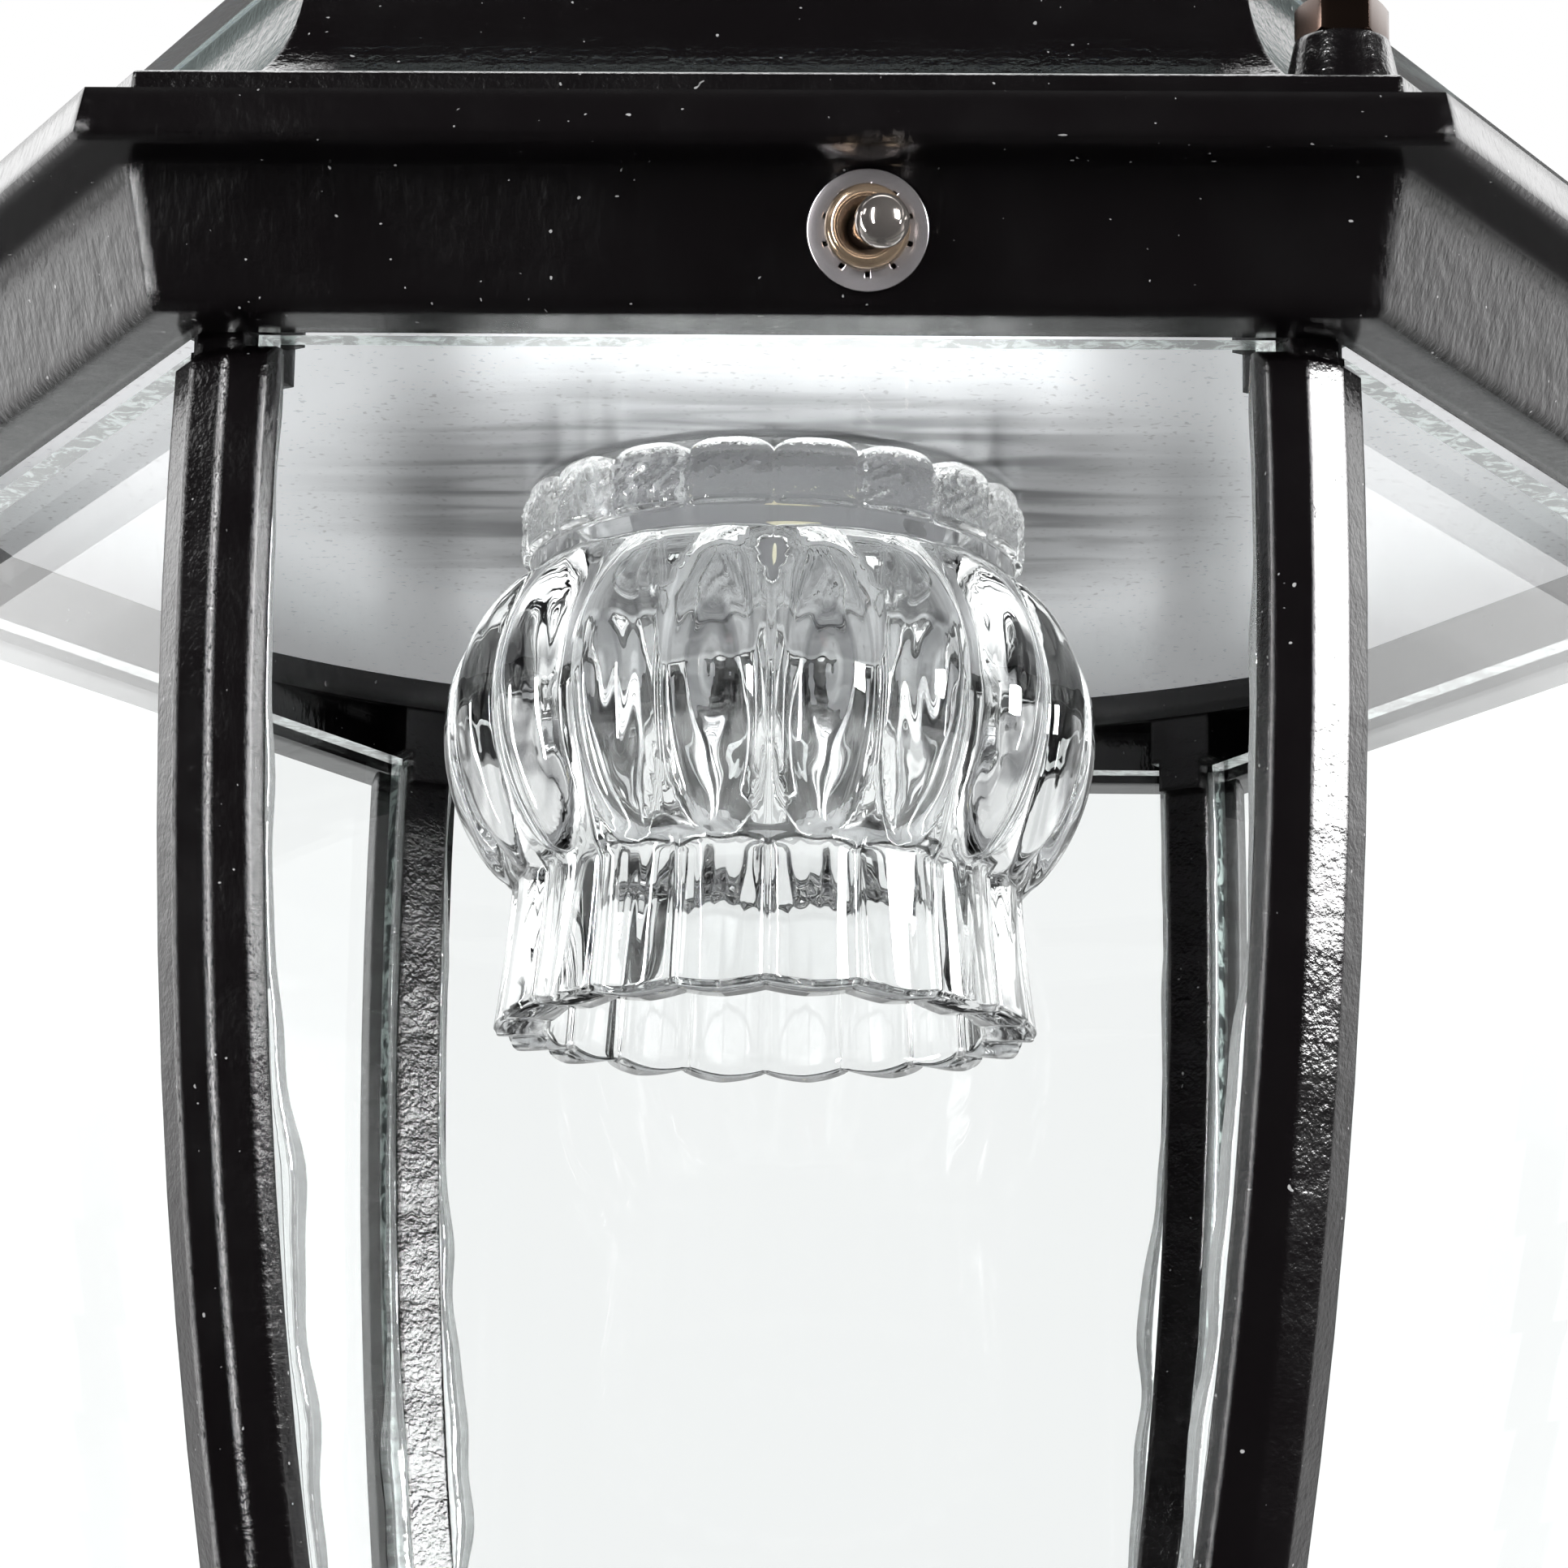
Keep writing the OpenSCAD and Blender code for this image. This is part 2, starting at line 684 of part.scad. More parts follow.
// Radius of the cup's lobes, crest to crest, at a drop below its neck edge
cup_belly_top = window_h + band_h;
cup_waist = cup_belly_top + cup_belly_h;
function cup_crest(drop) =
  drop < cup_belly_top ? cup_neck_r
  : drop < cup_waist
    ? let (t = (drop - cup_belly_top) / cup_belly_h,
           foot_r = cup_neck_r + (cup_waist_r - cup_neck_r) * t)
      foot_r + (cup_belly_r - foot_r) * pow(sin(180 * pow(t, 0.93)), 0.72)
    : cup_waist_r + (cup_rim_r - cup_waist_r)
      * pow((drop - cup_waist) / (cup_h - cup_waist), 1.4);
// Depths of the two kinds of groove at the same drop: all alike on the neck and the
// skirt, deep and shallow in turn on the belly
neck_groove = 0.55;
skirt_groove = 0.9;
function belly_part(drop) =
  drop > cup_belly_top && drop < cup_waist
    ? sin(180 * (drop - cup_belly_top) / cup_belly_h) : 0;
function all_grooves(drop) =
  drop < window_h ? neck_groove
  : drop < cup_belly_top ? 0.15
  : drop < cup_waist ? neck_groove + (half_groove - neck_groove) * belly_part(drop)
  : neck_groove + (skirt_groove - neck_groove) * (drop - cup_waist) / (cup_h - cup_waist);
function extra_grooves(drop) = (groove - half_groove) * pow(belly_part(drop), 0.6);

// Pressed glass cup with split lobes outside and a smooth bore, a groove in front
module glass_cup() {
  per_lobe = 12;
  around = lobes * per_lobe;
  drops = concat([0, 0.5, window_h - 0.5, window_h, cup_belly_top],
    [for (i = [1:13]) cup_belly_top + cup_belly_h * i / 14],
    [cup_waist, cup_waist + 3, cup_waist + 8, cup_h - 1.2, cup_h]);
  rings = len(drops);
  function half_lobe(angle) = pow(abs(sin((angle + 90) * lobes)), 0.8);
  function full_lobe(angle) = pow(abs(sin((angle + 90) * lobes / 2)), 0.6);
  function edge_cut(i) = i == 0 || i == rings - 1 ? 0.5 : 0;
  function rim_rise(i, angle) = i > rings - 3 ? rim_scallop * (1 - half_lobe(angle)) : 0;
  function ring_point(i, j) =
    let (angle = 360 * j / around,
         r = cup_crest(drops[i]) - edge_cut(i)
           - all_grooves(drops[i]) * (1 - half_lobe(angle))
           - extra_grooves(drops[i]) * (1 - full_lobe(angle)))
    [r * cos(angle), r * sin(angle), cup_top_z - drops[i] + rim_rise(i, angle)];
  points = concat(
    [for (i = [0:rings - 1]) for (j = [0:around - 1]) ring_point(i, j)],
    [[0, 0, cup_top_z], [0, 0, cup_rim_z]]);
  top_mid = rings * around;
  low_mid = top_mid + 1;
  last = (rings - 1) * around;
  faces = concat(
    [for (i = [0:rings - 2]) for (j = [0:around - 1])
      let (k = (j + 1) % around)
      [i * around + j, i * around + k, (i + 1) * around + k, (i + 1) * around + j]],
    [for (j = [0:around - 1]) [top_mid, (j + 1) % around, j]],
    [for (j = [0:around - 1]) [low_mid, last + j, last + (j + 1) % around]]);
  bore_r = cup_mouth_r + 0.2;
  hollow_r = cup_belly_r - groove - cup_wall;
  color("#eef2f3", 0.4)
  translate([-cup_aside, 0, 0])
  rotate([0, 0, cup_turn])
  difference() {
    polyhedron(points, faces, convexity = 6);
    translate([0, 0, cup_top_z])
      rotate_extrude()
        polygon(concat([[0, 1], [bore_r, 1], [bore_r, -cup_belly_top]],
          [for (t = [0.1:0.1:0.9])
            [bore_r + (hollow_r - bore_r) * pow(sin(180 * t), 0.8),
             -cup_belly_top - cup_belly_h * t]],
          [[bore_r, -cup_waist], [cup_mouth_r, -cup_h - 1], [0, -cup_h - 1]]));
  }
}

module cup_seal() {
  color("#e8ecec", 0.5)
  translate([-cup_aside, 0, cup_top_z])
    difference() {
      cylinder(r = cup_neck_r - 1, h = cup_seal_t);
      translate([0, 0, -1])
        cylinder(r = cup_mouth_r + 0.6, h = cup_seal_t + 2);
    }
}

module led_board() {
  color("#f4f4f0")
  translate([0, 0, plate_z - board_t])
    difference() {
      cylinder(r = led_board_r, h = board_t);
      for (side = [-1, 1])
        translate([side * (led_board_r - 4), 0, -1])
          cylinder(r = 1.6, h = board_t + 2);
    }
}

module led_dome() {
  color("#f5e7a6")
  translate([0, 0, plate_z - board_t])
    rotate_extrude()
      intersection() {
        circle(r = led_dome_r);
        translate([0, -led_dome_r])
          square([led_dome_r, led_dome_r]);
      }
}

// Open tray with end walls that carries the two cells on the plate
module battery_tray() {
  tray_l = cell_len + 2 * tray_t + 3;
  tray_w = cell_pitch + 2 * cell_r + 2 * tray_t;
  color("#202022")
  translate([0, 0, plate_top_z])
    difference() {
      translate([-tray_l / 2, -tray_w / 2, 0])
        cube([tray_l, tray_w, tray_t + cell_r]);
      translate([-tray_l / 2 + tray_t, 0, 0])
        for (side = [-1, 1])
          translate([0, side * cell_pitch / 2, tray_t + cell_r + 0.3])
            rotate([0, 90, 0])
              cylinder(r = cell_r + 0.3, h = tray_l - 2 * tray_t);
    }
}

module battery_cells() {
  color("#2f6fa8")
  for (side = [-1, 1])
    translate([-cell_len / 2, side * cell_pitch / 2, plate_top_z + tray_t + cell_r])
      rotate([0, 90, 0]) {
        cylinder(r = cell_r, h = cell_len - 1.5);
        cylinder(r = 3.2, h = cell_len);
      }
}

module at_standoffs() {
  for (x = [-1, 1])
    for (y = [-1, 1])
      translate([x * (board_l / 2 - 4), board_back + y * (board_w / 2 - 4), 0])
        children();
}

module board_standoffs() {
  color("#b9a15a")
  at_standoffs()
    translate([0, 0, plate_top_z]) {
      cylinder(r = 2.6, h = standoff_h);
      cylinder(r = 1.4, h = standoff_h + board_t + 1.2);
    }
}

module control_board() {
  color("#1f6b3a")
  translate([0, board_back, plate_top_z + standoff_h])
    difference() {
      union() {
        translate([-board_l / 2, -board_w / 2, 0])
          cube([board_l, board_w, board_t]);
        translate([-8, -6, board_t - eps])
          cube([10, 9, 2]);
        translate([10, 4, board_t - eps])
          cylinder(r = 4, h = 8);
        translate([-20, -8, board_t - eps])
          cube([8, 6, 7]);
      }
      translate([0, -board_back, -1])
        at_standoffs()
          cylinder(r = 1.4, h = board_t + 2);
    }
}

// Puts its child on the skirt, with +Z out of the sloping face and +Y up along it
skirt_lean = atan(skirt_flare / skirt_h);
module at_switch() {
  translate([switch_x, -skirt_a - skirt_flare * switch_up / skirt_h, lip_z + switch_up])
    rotate([90 + skirt_lean, 0, 0])
      children();
}

module switch_case() {
  color("#b3261e")
  at_switch()
    translate([-case_l / 2, -case_w / 2, -panel_t - case_d])
      cube([case_l, case_w, case_d]);
}

module switch_terminals() {
  color("#c8b273")
  at_switch()
    for (i = [-1:1])
      translate([i * 4.5 - 1, -0.4, -panel_t - case_d - 3.5])
        cube([2, 0.8, 3.5]);
}

// Threaded bushing with a flared mouth; the lever's ball turns in its bore
pivot_up = 1.6;
mouth_z = washer_t + switch_nut_h - 0.3;
module switch_bushing() {
  color("#c4c0b6")
  at_switch()
    difference() {
      translate([0, 0, -panel_t])
        cylinder(r = bushing_r, h = panel_t + mouth_z);
      translate([0, 0, pivot_up - lever_pivot_r - 1])
        cylinder(r = lever_pivot_r + pivot_gap, h = lever_pivot_r + 2);
      translate([0, 0, pivot_up + 0.9])
        cylinder(r1 = lever_pivot_r + pivot_gap, r2 = bushing_r - 0.15,
          h = mouth_z - pivot_up - 0.9 + eps);
      translate([0, 0, pivot_up])
        rotate([90, 0, 0])
          cylinder(r = lever_pin_r + pivot_gap, h = 3 * bushing_r, center = true);
    }
}

module switch_washer() {
  color("#cfd0d2")
  at_switch()
    difference() {
      cylinder(r = washer_r, h = washer_t);
      translate([0, 0, -1])
        cylinder(r = bushing_r + 0.05, h = washer_t + 2);
      for (i = [0:washer_notches - 1])
        rotate([0, 0, (i + 0.5) * 360 / washer_notches])
          translate([bushing_r + 0.6, -0.25, -1])
            cube([0.9, 0.5, washer_t + 2]);
    }
}

module switch_nut() {
  color("#a8977f")
  at_switch()
    translate([0, 0, washer_t])
      difference() {
        rotate_extrude()
          polygon([[0, 0], [switch_nut_r - 0.3, 0], [switch_nut_r, 0.3],
            [switch_nut_r, switch_nut_h - 0.9], [switch_nut_r - 0.3, switch_nut_h - 0.3],
            [switch_nut_r - 0.7, switch_nut_h], [0, switch_nut_h]]);
        translate([0, 0, -1])
          cylinder(r = bushing_r, h = switch_nut_h + 2);
      }
}

module switch_lever() {
  stem_r = 0.95;
  color("#bdb6aa")
  at_switch()
    translate([0, 0, pivot_up])
      rotate([0, lever_swing, 0]) {
        sphere(r = lever_pivot_r);
        rotate([90, 0, 0])
          cylinder(r = lever_pin_r, h = 2 * bushing_r - 0.6, center = true);
        cylinder(r1 = stem_r, r2 = stem_r + 0.5, h = lever_len);
        translate([0, 0, lever_len])
          sphere(r = lever_tip_r);
      }
}

// Half profile of the roof's outside, from the flange to the crown
function roof_profile() = concat(
  [[0, eave_top_z], [step_a, eave_top_z], [step_top_a, step_top_z - 0.3],
   [step_top_a - 0.3, step_top_z], [foot_a, step_top_z], [foot_a, foot_top_z - 0.4],
   [foot_a - 0.4, foot_top_z]],
  arc(cove_top_a + cove_r, cove_top_z, cove_r, -90, -180, 20),
  [[crown_a, crown_z], [0, crown_z]]);

module roof() {
  // Where the hollow's arc starts, right over the inner side of the foot
  hollow_from =
    -90 - asin((cove_top_a + cove_r - foot_a + roof_wall) / (cove_r + roof_wall));
  color("#161616")
  difference() {
    union() {
      difference() {
        six_sided(roof_profile());
        six_sided(concat(
            [[0, eave_top_z - 1], [foot_a - roof_wall, eave_top_z - 1]],
            arc(cove_top_a + cove_r, cove_top_z, cove_r + roof_wall, hollow_from, -180),
            [[crown_a, crown_z - roof_wall - roof_wall * tan(roof_slope)],
             [0, crown_z - roof_wall - roof_wall * tan(roof_slope)]]));
      }
      for (corner = ALL_CORNERS)
        rotate([0, 0, corner])
          hip_bar();
      at_studs()
        translate([0, 0, step_top_z])
          cylinder(r1 = 6, r2 = 4.7, h = nut_cone_h);
      translate([0, 0, crown_z - finial_stud_in - 2])
        cylinder(r = crown_boss_r, h = finial_stud_in + 2);
    }
    at_studs()
      translate([0, 0, eave_top_z - 1])
        cylinder(r = stud_r, h = 40);
    translate([0, 0, crown_z - finial_stud_in])
      cylinder(r = finial_stud_r, h = finial_stud_in + 8);
  }
}

// Radius of the boss that the finial's stud screws into
crown_boss_r = 8;

// Raised bar along a hip, between two panels
hip_rise = hip_bar_h / cos(roof_slope);
module hip_bar() {
  low_r = cove_top_a / cos_half;
  top_r = crown_a / cos_half;
  rotate([90, 0, 0])
    linear_extrude(height = hip_bar_w, center = true)
      polygon([[low_r - 2, cove_top_z - 2], [low_r, cove_top_z],
        [low_r, cove_top_z + hip_rise * 0.7], [low_r - 1, cove_top_z + hip_rise],
        [top_r, crown_z + hip_rise - 0.6], [top_r, crown_z - 2]]);
}

module roof_studs() {
  color("#8a8a88")
  at_studs()
    translate([0, 0, plate_z + 0.6])
      cylinder(r = stud_r, h = step_top_z + nut_cone_h + stud_end - plate_z - 0.6);
}

// Six-sided nut with a domed cap, open below for the stud
module acorn_nuts() {
  corner_r = nut_across / 2 / cos_half;
  face_r = nut_across / 2 - 0.1;
  bore_up = stud_end + 0.4;
  color("#3a2f28")
  at_studs()
    translate([0, 0, step_top_z + nut_cone_h])
      difference() {
        union() {
          intersection() {
            cylinder(r = corner_r, h = nut_h, $fn = 6);
            rotate_extrude()
              polygon([[0, 0], [face_r, 0], [corner_r + 0.1, 0.5],
                [corner_r + 0.1, nut_h - 0.5], [face_r, nut_h], [0, nut_h]]);
          }
          translate([0, 0, nut_h - eps])
            cylinder(r = nut_dome_r, h = 1.6);
          translate([0, 0, nut_h + 1.5])
            sphere(r = nut_dome_r);
        }
        translate([0, 0, -1])
          cylinder(r = stud_r, h = bore_up + 1);
      }
}

// Flat laminate on one roof slope, cut to a trapezoid between the hip bars
module solar_panel(turn) {
  low_a = cove_top_a + panel_overhang;
  top_a = crown_a + 3;
  rise = tan(roof_slope);
  across = panel_thick * sin(roof_slope);
  up = panel_thick * cos(roof_slope);
  low_z = cove_top_z - panel_overhang * rise;
  top_z = cove_top_z + (cove_top_a - top_a) * rise;
  color("#16243a")
  rotate([0, 0, turn])
    intersection() {
      rotate([90, 0, 0])
        linear_extrude(height = far, center = true)
          polygon([[low_a, low_z], [low_a + across, low_z + up],
            [top_a + across, top_z + up], [top_a, top_z]]);
      side_wedge(hip_bar_w / 2 + panel_gap, low_z - 1, top_z + 10);
    }
}

// Six-sided cap over the upper edges of the panels, with a boss on the crown
cap_rim = 1.4;
cap_hollow_a = cap_a - cap_rim;
cap_low_z = cove_top_z + (cove_top_a - cap_hollow_a) * tan(roof_slope) + hip_rise + 0.2;
cap_hollow_z = cap_low_z + (cap_hollow_a - crown_a) * tan(roof_slope);
cap_top_z = cap_low_z + cap_edge_h + cap_sweep_r + cap_block_h;
module roof_cap() {
  sweep_x = cap_a - 1;
  color("#161616")
  difference() {
    union() {
      difference() {
        six_sided(concat([[0, cap_low_z], [cap_a, cap_low_z],
              [cap_a, cap_low_z + cap_edge_h - 0.5], [cap_a - 0.5, cap_low_z + cap_edge_h],
              [sweep_x, cap_low_z + cap_edge_h]],
            arc(sweep_x, cap_low_z + cap_edge_h + cap_sweep_r, cap_sweep_r, -90, -180),
            [[sweep_x - cap_sweep_r, cap_top_z], [0, cap_top_z]]));
        six_sided([[0, cap_low_z - 1], [cap_hollow_a, cap_low_z - 1],
            [cap_hollow_a, cap_low_z], [crown_a, cap_hollow_z], [0, cap_hollow_z]]);
      }
      translate([0, 0, crown_z])
        cylinder(r = 16, h = cap_low_z + cap_edge_h + 4 - crown_z);
    }
    translate([0, 0, crown_z - 1])
      cylinder(r = finial_stud_r, h = 60);
  }
}

// Turned finial: foot, neck, ball and tip
module finial() {
  neck = finial_ball_r / 2;
  ball_z = 6 + finial_ball_r;
  color("#161616")
  translate([0, 0, cap_top_z])
    difference() {
      rotate_extrude()
        polygon(concat(
          [[0, 0], [finial_foot_r, 0], [finial_foot_r, 2]],
          arc(finial_foot_r, 6, 4, -90, -140, 5),
          [[neck, 6]],
          arc(0, ball_z, finial_ball_r, -55, 68, 16),
          [[2.6, ball_z + finial_ball_r], [1.6, ball_z + finial_ball_r + finial_tip_h / 2],
           [0.6, ball_z + finial_ball_r + finial_tip_h],
           [0, ball_z + finial_ball_r + finial_tip_h]]));
      translate([0, 0, -1])
        cylinder(r = finial_stud_r, h = finial_stud_in + 1);
    }
}

module finial_stud() {
  color("#8a8a88")
  translate([0, 0, crown_z - finial_stud_in])
    cylinder(r = finial_stud_r, h = cap_top_z - crown_z + 2 * finial_stud_in - 1);
}

pier_base();
base_screws();
cage();
pane(SIDES[0]);  // pane_front
pane(SIDES[1]);  // pane_front_right
pane(SIDES[2]);  // pane_back_right
pane(SIDES[3]);  // pane_back
pane(SIDES[4]);  // pane_back_left
pane(SIDES[5]);  // pane_front_left
pane_sealant();
top_ring();
ring_screws();
reflector_plate();
glass_cup();
cup_seal();
led_board();
led_dome();
battery_tray();
battery_cells();
board_standoffs();
control_board();
switch_case();
switch_terminals();
switch_bushing();
switch_washer();
switch_nut();
switch_lever();
roof();
roof_studs();
acorn_nuts();
solar_panel(SIDES[0]);  // solar_panel_front
solar_panel(SIDES[1]);  // solar_panel_front_right
solar_panel(SIDES[2]);  // solar_panel_back_right
solar_panel(SIDES[3]);  // solar_panel_back
solar_panel(SIDES[4]);  // solar_panel_back_left
solar_panel(SIDES[5]);  // solar_panel_front_left
roof_cap();
finial();
finial_stud();
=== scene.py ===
"""Looks of the solar pillar light: finishes, the pressed glass cup, sealant, stage and camera."""

import math

import bpy
import numpy as np
from mathutils import Matrix, Vector


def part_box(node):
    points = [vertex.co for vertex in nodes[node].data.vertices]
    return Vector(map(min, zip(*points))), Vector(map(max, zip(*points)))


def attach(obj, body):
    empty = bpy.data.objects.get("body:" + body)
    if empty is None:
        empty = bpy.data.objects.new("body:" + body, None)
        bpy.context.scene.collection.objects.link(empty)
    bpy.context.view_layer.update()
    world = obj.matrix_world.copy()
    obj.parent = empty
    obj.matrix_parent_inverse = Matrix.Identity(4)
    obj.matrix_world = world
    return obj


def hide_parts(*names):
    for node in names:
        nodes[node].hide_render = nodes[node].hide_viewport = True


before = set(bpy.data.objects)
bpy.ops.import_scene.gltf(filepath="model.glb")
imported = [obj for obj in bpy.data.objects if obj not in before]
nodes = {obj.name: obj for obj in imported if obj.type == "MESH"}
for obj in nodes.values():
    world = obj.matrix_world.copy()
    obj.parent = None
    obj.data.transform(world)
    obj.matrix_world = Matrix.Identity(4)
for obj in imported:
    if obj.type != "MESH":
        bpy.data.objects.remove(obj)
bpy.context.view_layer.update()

MM = 0.001
SIN30, COS30, TAN30 = 0.5, math.cos(math.radians(30)), math.tan(math.radians(30))
LIP_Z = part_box("top_ring")[0].z

# The six sides, by the direction in degrees in which each one faces
TURNS = {
    "front": -90, "front_right": -30, "back_right": 30,
    "back": 90, "back_left": 150, "front_left": 210,
}

# Sizes of the cup in mm. A drop is measured down from the cup's top.
CUP_TOP_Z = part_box("glass_cup")[1].z
CUP_H = (CUP_TOP_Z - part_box("glass_cup")[0].z) / MM
CUP_X = (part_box("glass_cup")[0].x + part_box("glass_cup")[1].x) / 2
CUP_TURN = math.radians(1.8)
WINDOWS, COLUMNS_PER_WINDOW = 18, 20
WINDOW_END, BELLY_TOP, BELLY_END = 7.3, 10.0, 45.6
NECK_R = 29.0
BAND_R = 28.0
BELLY_CREST = 37.4
BELLY_GROOVE = 34.0
WAIST_R = 29.3
RIM_R = 31.1

# Oval rings between the middle of a half lobe and its edge
RINGS = 2.9

# Sizes of the solar panels in metres, their lower edge measured down the slope
PANEL_END = -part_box("solar_panel_front")[0].y / COS30
PANEL_BORDER = 0.0035
CELL_WIDTH, CELL_LENGTH, GAP_HALF = 0.026, 0.0173, 0.0007
BUSBAR_PITCH, BUSBAR_HALF = 0.0087, 0.00045
FINGER_PITCH, FINGER_HALF = 0.0016, 0.00009

# Sizes of the cage in mm, which the sealant follows. A drop is measured down from the lip.
BELLY_R, BELLY_DROP, ARC_R = 109.3, 24.0, 370.0
PANE_OFFSET, PANE_T, HALF_WEB = 1.225, 3.0, 3.0
BEAD_START, BEAD_END = 0.5, 203.0
BEAD_STEPS = 110


# Shader helpers


class Graph:
    """A small builder for the nodes of one material or world."""

    def __init__(self, owner, kind):
        owner.use_nodes = True
        self.owner = owner
        self.tree = owner.node_tree
        self.tree.nodes.clear()
        self.out = self.tree.nodes.new("ShaderNodeOutput" + kind)

    def feed(self, socket, value):
        """Sets a socket to a value, or links it where value is another node's output."""
        if isinstance(value, (int, float, tuple)):
            socket.default_value = value
        else:
            self.tree.links.new(value, socket)

    def add(self, kind, sockets=None, **values):
        """Adds a node. values names its settings and sockets, and sockets gives more of them by number."""
        node = self.tree.nodes.new("ShaderNode" + kind)
        for key, value in values.items():
            if hasattr(node, key):
                setattr(node, key, value)
            else:
                self.feed(node.inputs[key.replace("_", " ")], value)
        for number, value in (sockets or {}).items():
            self.feed(node.inputs[number], value)
        return node

    def math(self, op, a, b=0.0):
        return self.add("Math", {0: a, 1: b}, operation=op).outputs[0]

    def product(self, first, *others):
        for value in others:
            first = self.math("MULTIPLY", first, value)
        return first

    def length(self, a, b):
        """Length of a flat vector with the parts a and b."""
        return self.math("SQRT", self.math("ADD", self.product(a, a), self.product(b, b)))

    def choose(self, switch, when_one, when_zero):
        """when_one where switch is 1, when_zero where it is 0."""
        off = self.math("SUBTRACT", 1.0, switch)
        return self.math("ADD", self.product(switch, when_one), self.product(off, when_zero))

    def coords(self):
        return self.add("TexCoord").outputs["Object"]

    def parts(self, vector):
        """The x, y and z of a vector."""
        return self.add("SeparateXYZ", Vector=vector).outputs

    def from_cup_axis(self, at):
        """A point's distance from the cup's axis in metres: sideways, backward and in all."""
        x, y, _ = self.parts(at)
        x = self.math("SUBTRACT", x, CUP_X)
        return x, y, self.length(x, y)

    def noise(self, scale, detail, rough, vector, distortion=0.0):
        more = {"Scale": scale, "Detail": detail, "Roughness": rough, "Distortion": distortion}
        return self.add("TexNoise", Vector=vector, **more).outputs["Fac"]

    def scaled(self, vector, x, y, z):
        return self.add("Mapping", Vector=vector, Scale=(x, y, z)).outputs["Vector"]

    def ramp(self, value, low, high, to_low=0.0, to_high=1.0):
        ends = {"From_Min": low, "From_Max": high, "To_Min": to_low, "To_Max": to_high}
        node = self.add("MapRange", interpolation_type="SMOOTHSTEP", Value=value, **ends)
        return node.outputs["Result"]

    def mix(self, fac, a, b):
        """Colour a where fac is 0, colour b where it is 1. Sockets 6 and 7 are the node's colours."""
        return self.add("Mix", {6: a, 7: b}, data_type="RGBA", Factor=fac).outputs[2]

    def bump(self, height, strength, distance, **more):
        """Normal of a rough surface. distance is in metres."""
        node = self.add("Bump", Strength=strength, Distance=distance, Height=height, **more)
        return node.outputs["Normal"]

    def principled(self, color, rough, metal=0.0, **more):
        node = self.add("BsdfPrincipled", Base_Color=color, Roughness=rough, Metallic=metal, **more)
        return node.outputs["BSDF"]

    def done(self, shader):
        self.feed(self.out.inputs["Surface"], shader)
        return self.owner


def material(name):
    return Graph(bpy.data.materials.new(name), "Material")


def rgb(r, g, b):
    return (r, g, b, 1.0)


def black_paint(name, edge_radius, level=0.5, grain=1500, depth=0.00008, streak=1.0):
    """Glossy black powder coat: orange peel, smoother undersides, specks, rounded edges.

    edge_radius and depth are in metres. A streak under 1 draws the grain out upright.
    """
    g = material(name)
    at = g.coords()
    rounded = g.add("Bevel", samples=4, Radius=edge_radius).outputs["Normal"]
    peel = g.noise(grain, 2.0, 0.55, g.scaled(at, 1, 1, streak))
    waves = g.product(g.noise(grain / 4, 1.0, 0.5, at), 1.3)
    facing_up = g.parts(g.add("TexCoord").outputs["Normal"])["Z"]
    upright = g.ramp(facing_up, -0.95, -0.80, 0.12, 1.0)
    height = g.product(g.math("ADD", peel, waves), upright)
    normal = g.bump(height, 1.0, depth, Normal=rounded)
    specks = g.ramp(g.noise(1500, 0.0, 0.5, at), 0.84, 0.88)
    color = g.mix(specks, rgb(0.0010, 0.0008, 0.0009), rgb(0.08, 0.08, 0.08))
    rough = g.ramp(g.noise(90, 3.0, 0.6, at), 0.3, 0.7, 0.13, 0.20)
    return g.done(g.principled(color, rough, Normal=normal, Specular_IOR_Level=level))


def plain(name, color, rough, metal=0.0, **more):
    g = material(name)
    return g.done(g.principled(rgb(*color), rough, metal, **more))


def mirror_plate():
    """Hazy bright metal with dust, a faint painted glow though the plate is no lamp, and a darker wavy
    patch round the cup that is a painted reflection of the cup.
    """
    g = material("mirror_plate")
    at = g.coords()
    haze = g.ramp(g.noise(14, 4.0, 0.6, at), 0.35, 0.7, 0.30, 0.37)
    color = g.mix(g.noise(40, 3.0, 0.6, at), rgb(0.80, 0.81, 0.83), rgb(0.88, 0.885, 0.90))
    dust = g.ramp(g.noise(1100, 1.0, 0.6, at), 0.62, 0.72)
    color = g.mix(dust, color, rgb(0.62, 0.62, 0.63))
    from_axis = g.from_cup_axis(at)[2]
    # Painted reflection: a dark wavy patch round the cup stands in for the cup's mirror image in the plate
    waves = g.ramp(g.noise(55, 2.0, 0.5, g.scaled(at, 0.5, 2.5, 1), 0.8), 0.35, 0.65, 0.72, 1.0)
    painted_reflection = g.product(g.ramp(from_axis, 30 * MM, 64 * MM, 1.0, 0.0), waves)
    color = g.mix(painted_reflection, color, rgb(0.10, 0.10, 0.105))
    # The emission is a painted glow that brightens the plate; the plate is no lamp
    return g.done(g.principled(color, haze, 1.0, Emission_Color=color, Emission_Strength=0.36))


def sheet_glass():
    """Flat or gently bent pane: seen straight through, with faint reflections."""
    g = material("sheet_glass")
    facing = g.add("LayerWeight", Blend=0.5).outputs["Facing"]
    sheen = g.math("ADD", g.product(g.math("POWER", facing, 5.0), 0.55), 0.02)
    through = g.add("BsdfTransparent", Color=rgb(0.988, 0.994, 0.993)).outputs["BSDF"]
    gloss = g.add("BsdfGlossy", Color=rgb(1, 1, 1), Roughness=0.0).outputs["BSDF"]
    return g.done(g.add("MixShader", {0: sheen, 1: through, 2: gloss}).outputs[0])


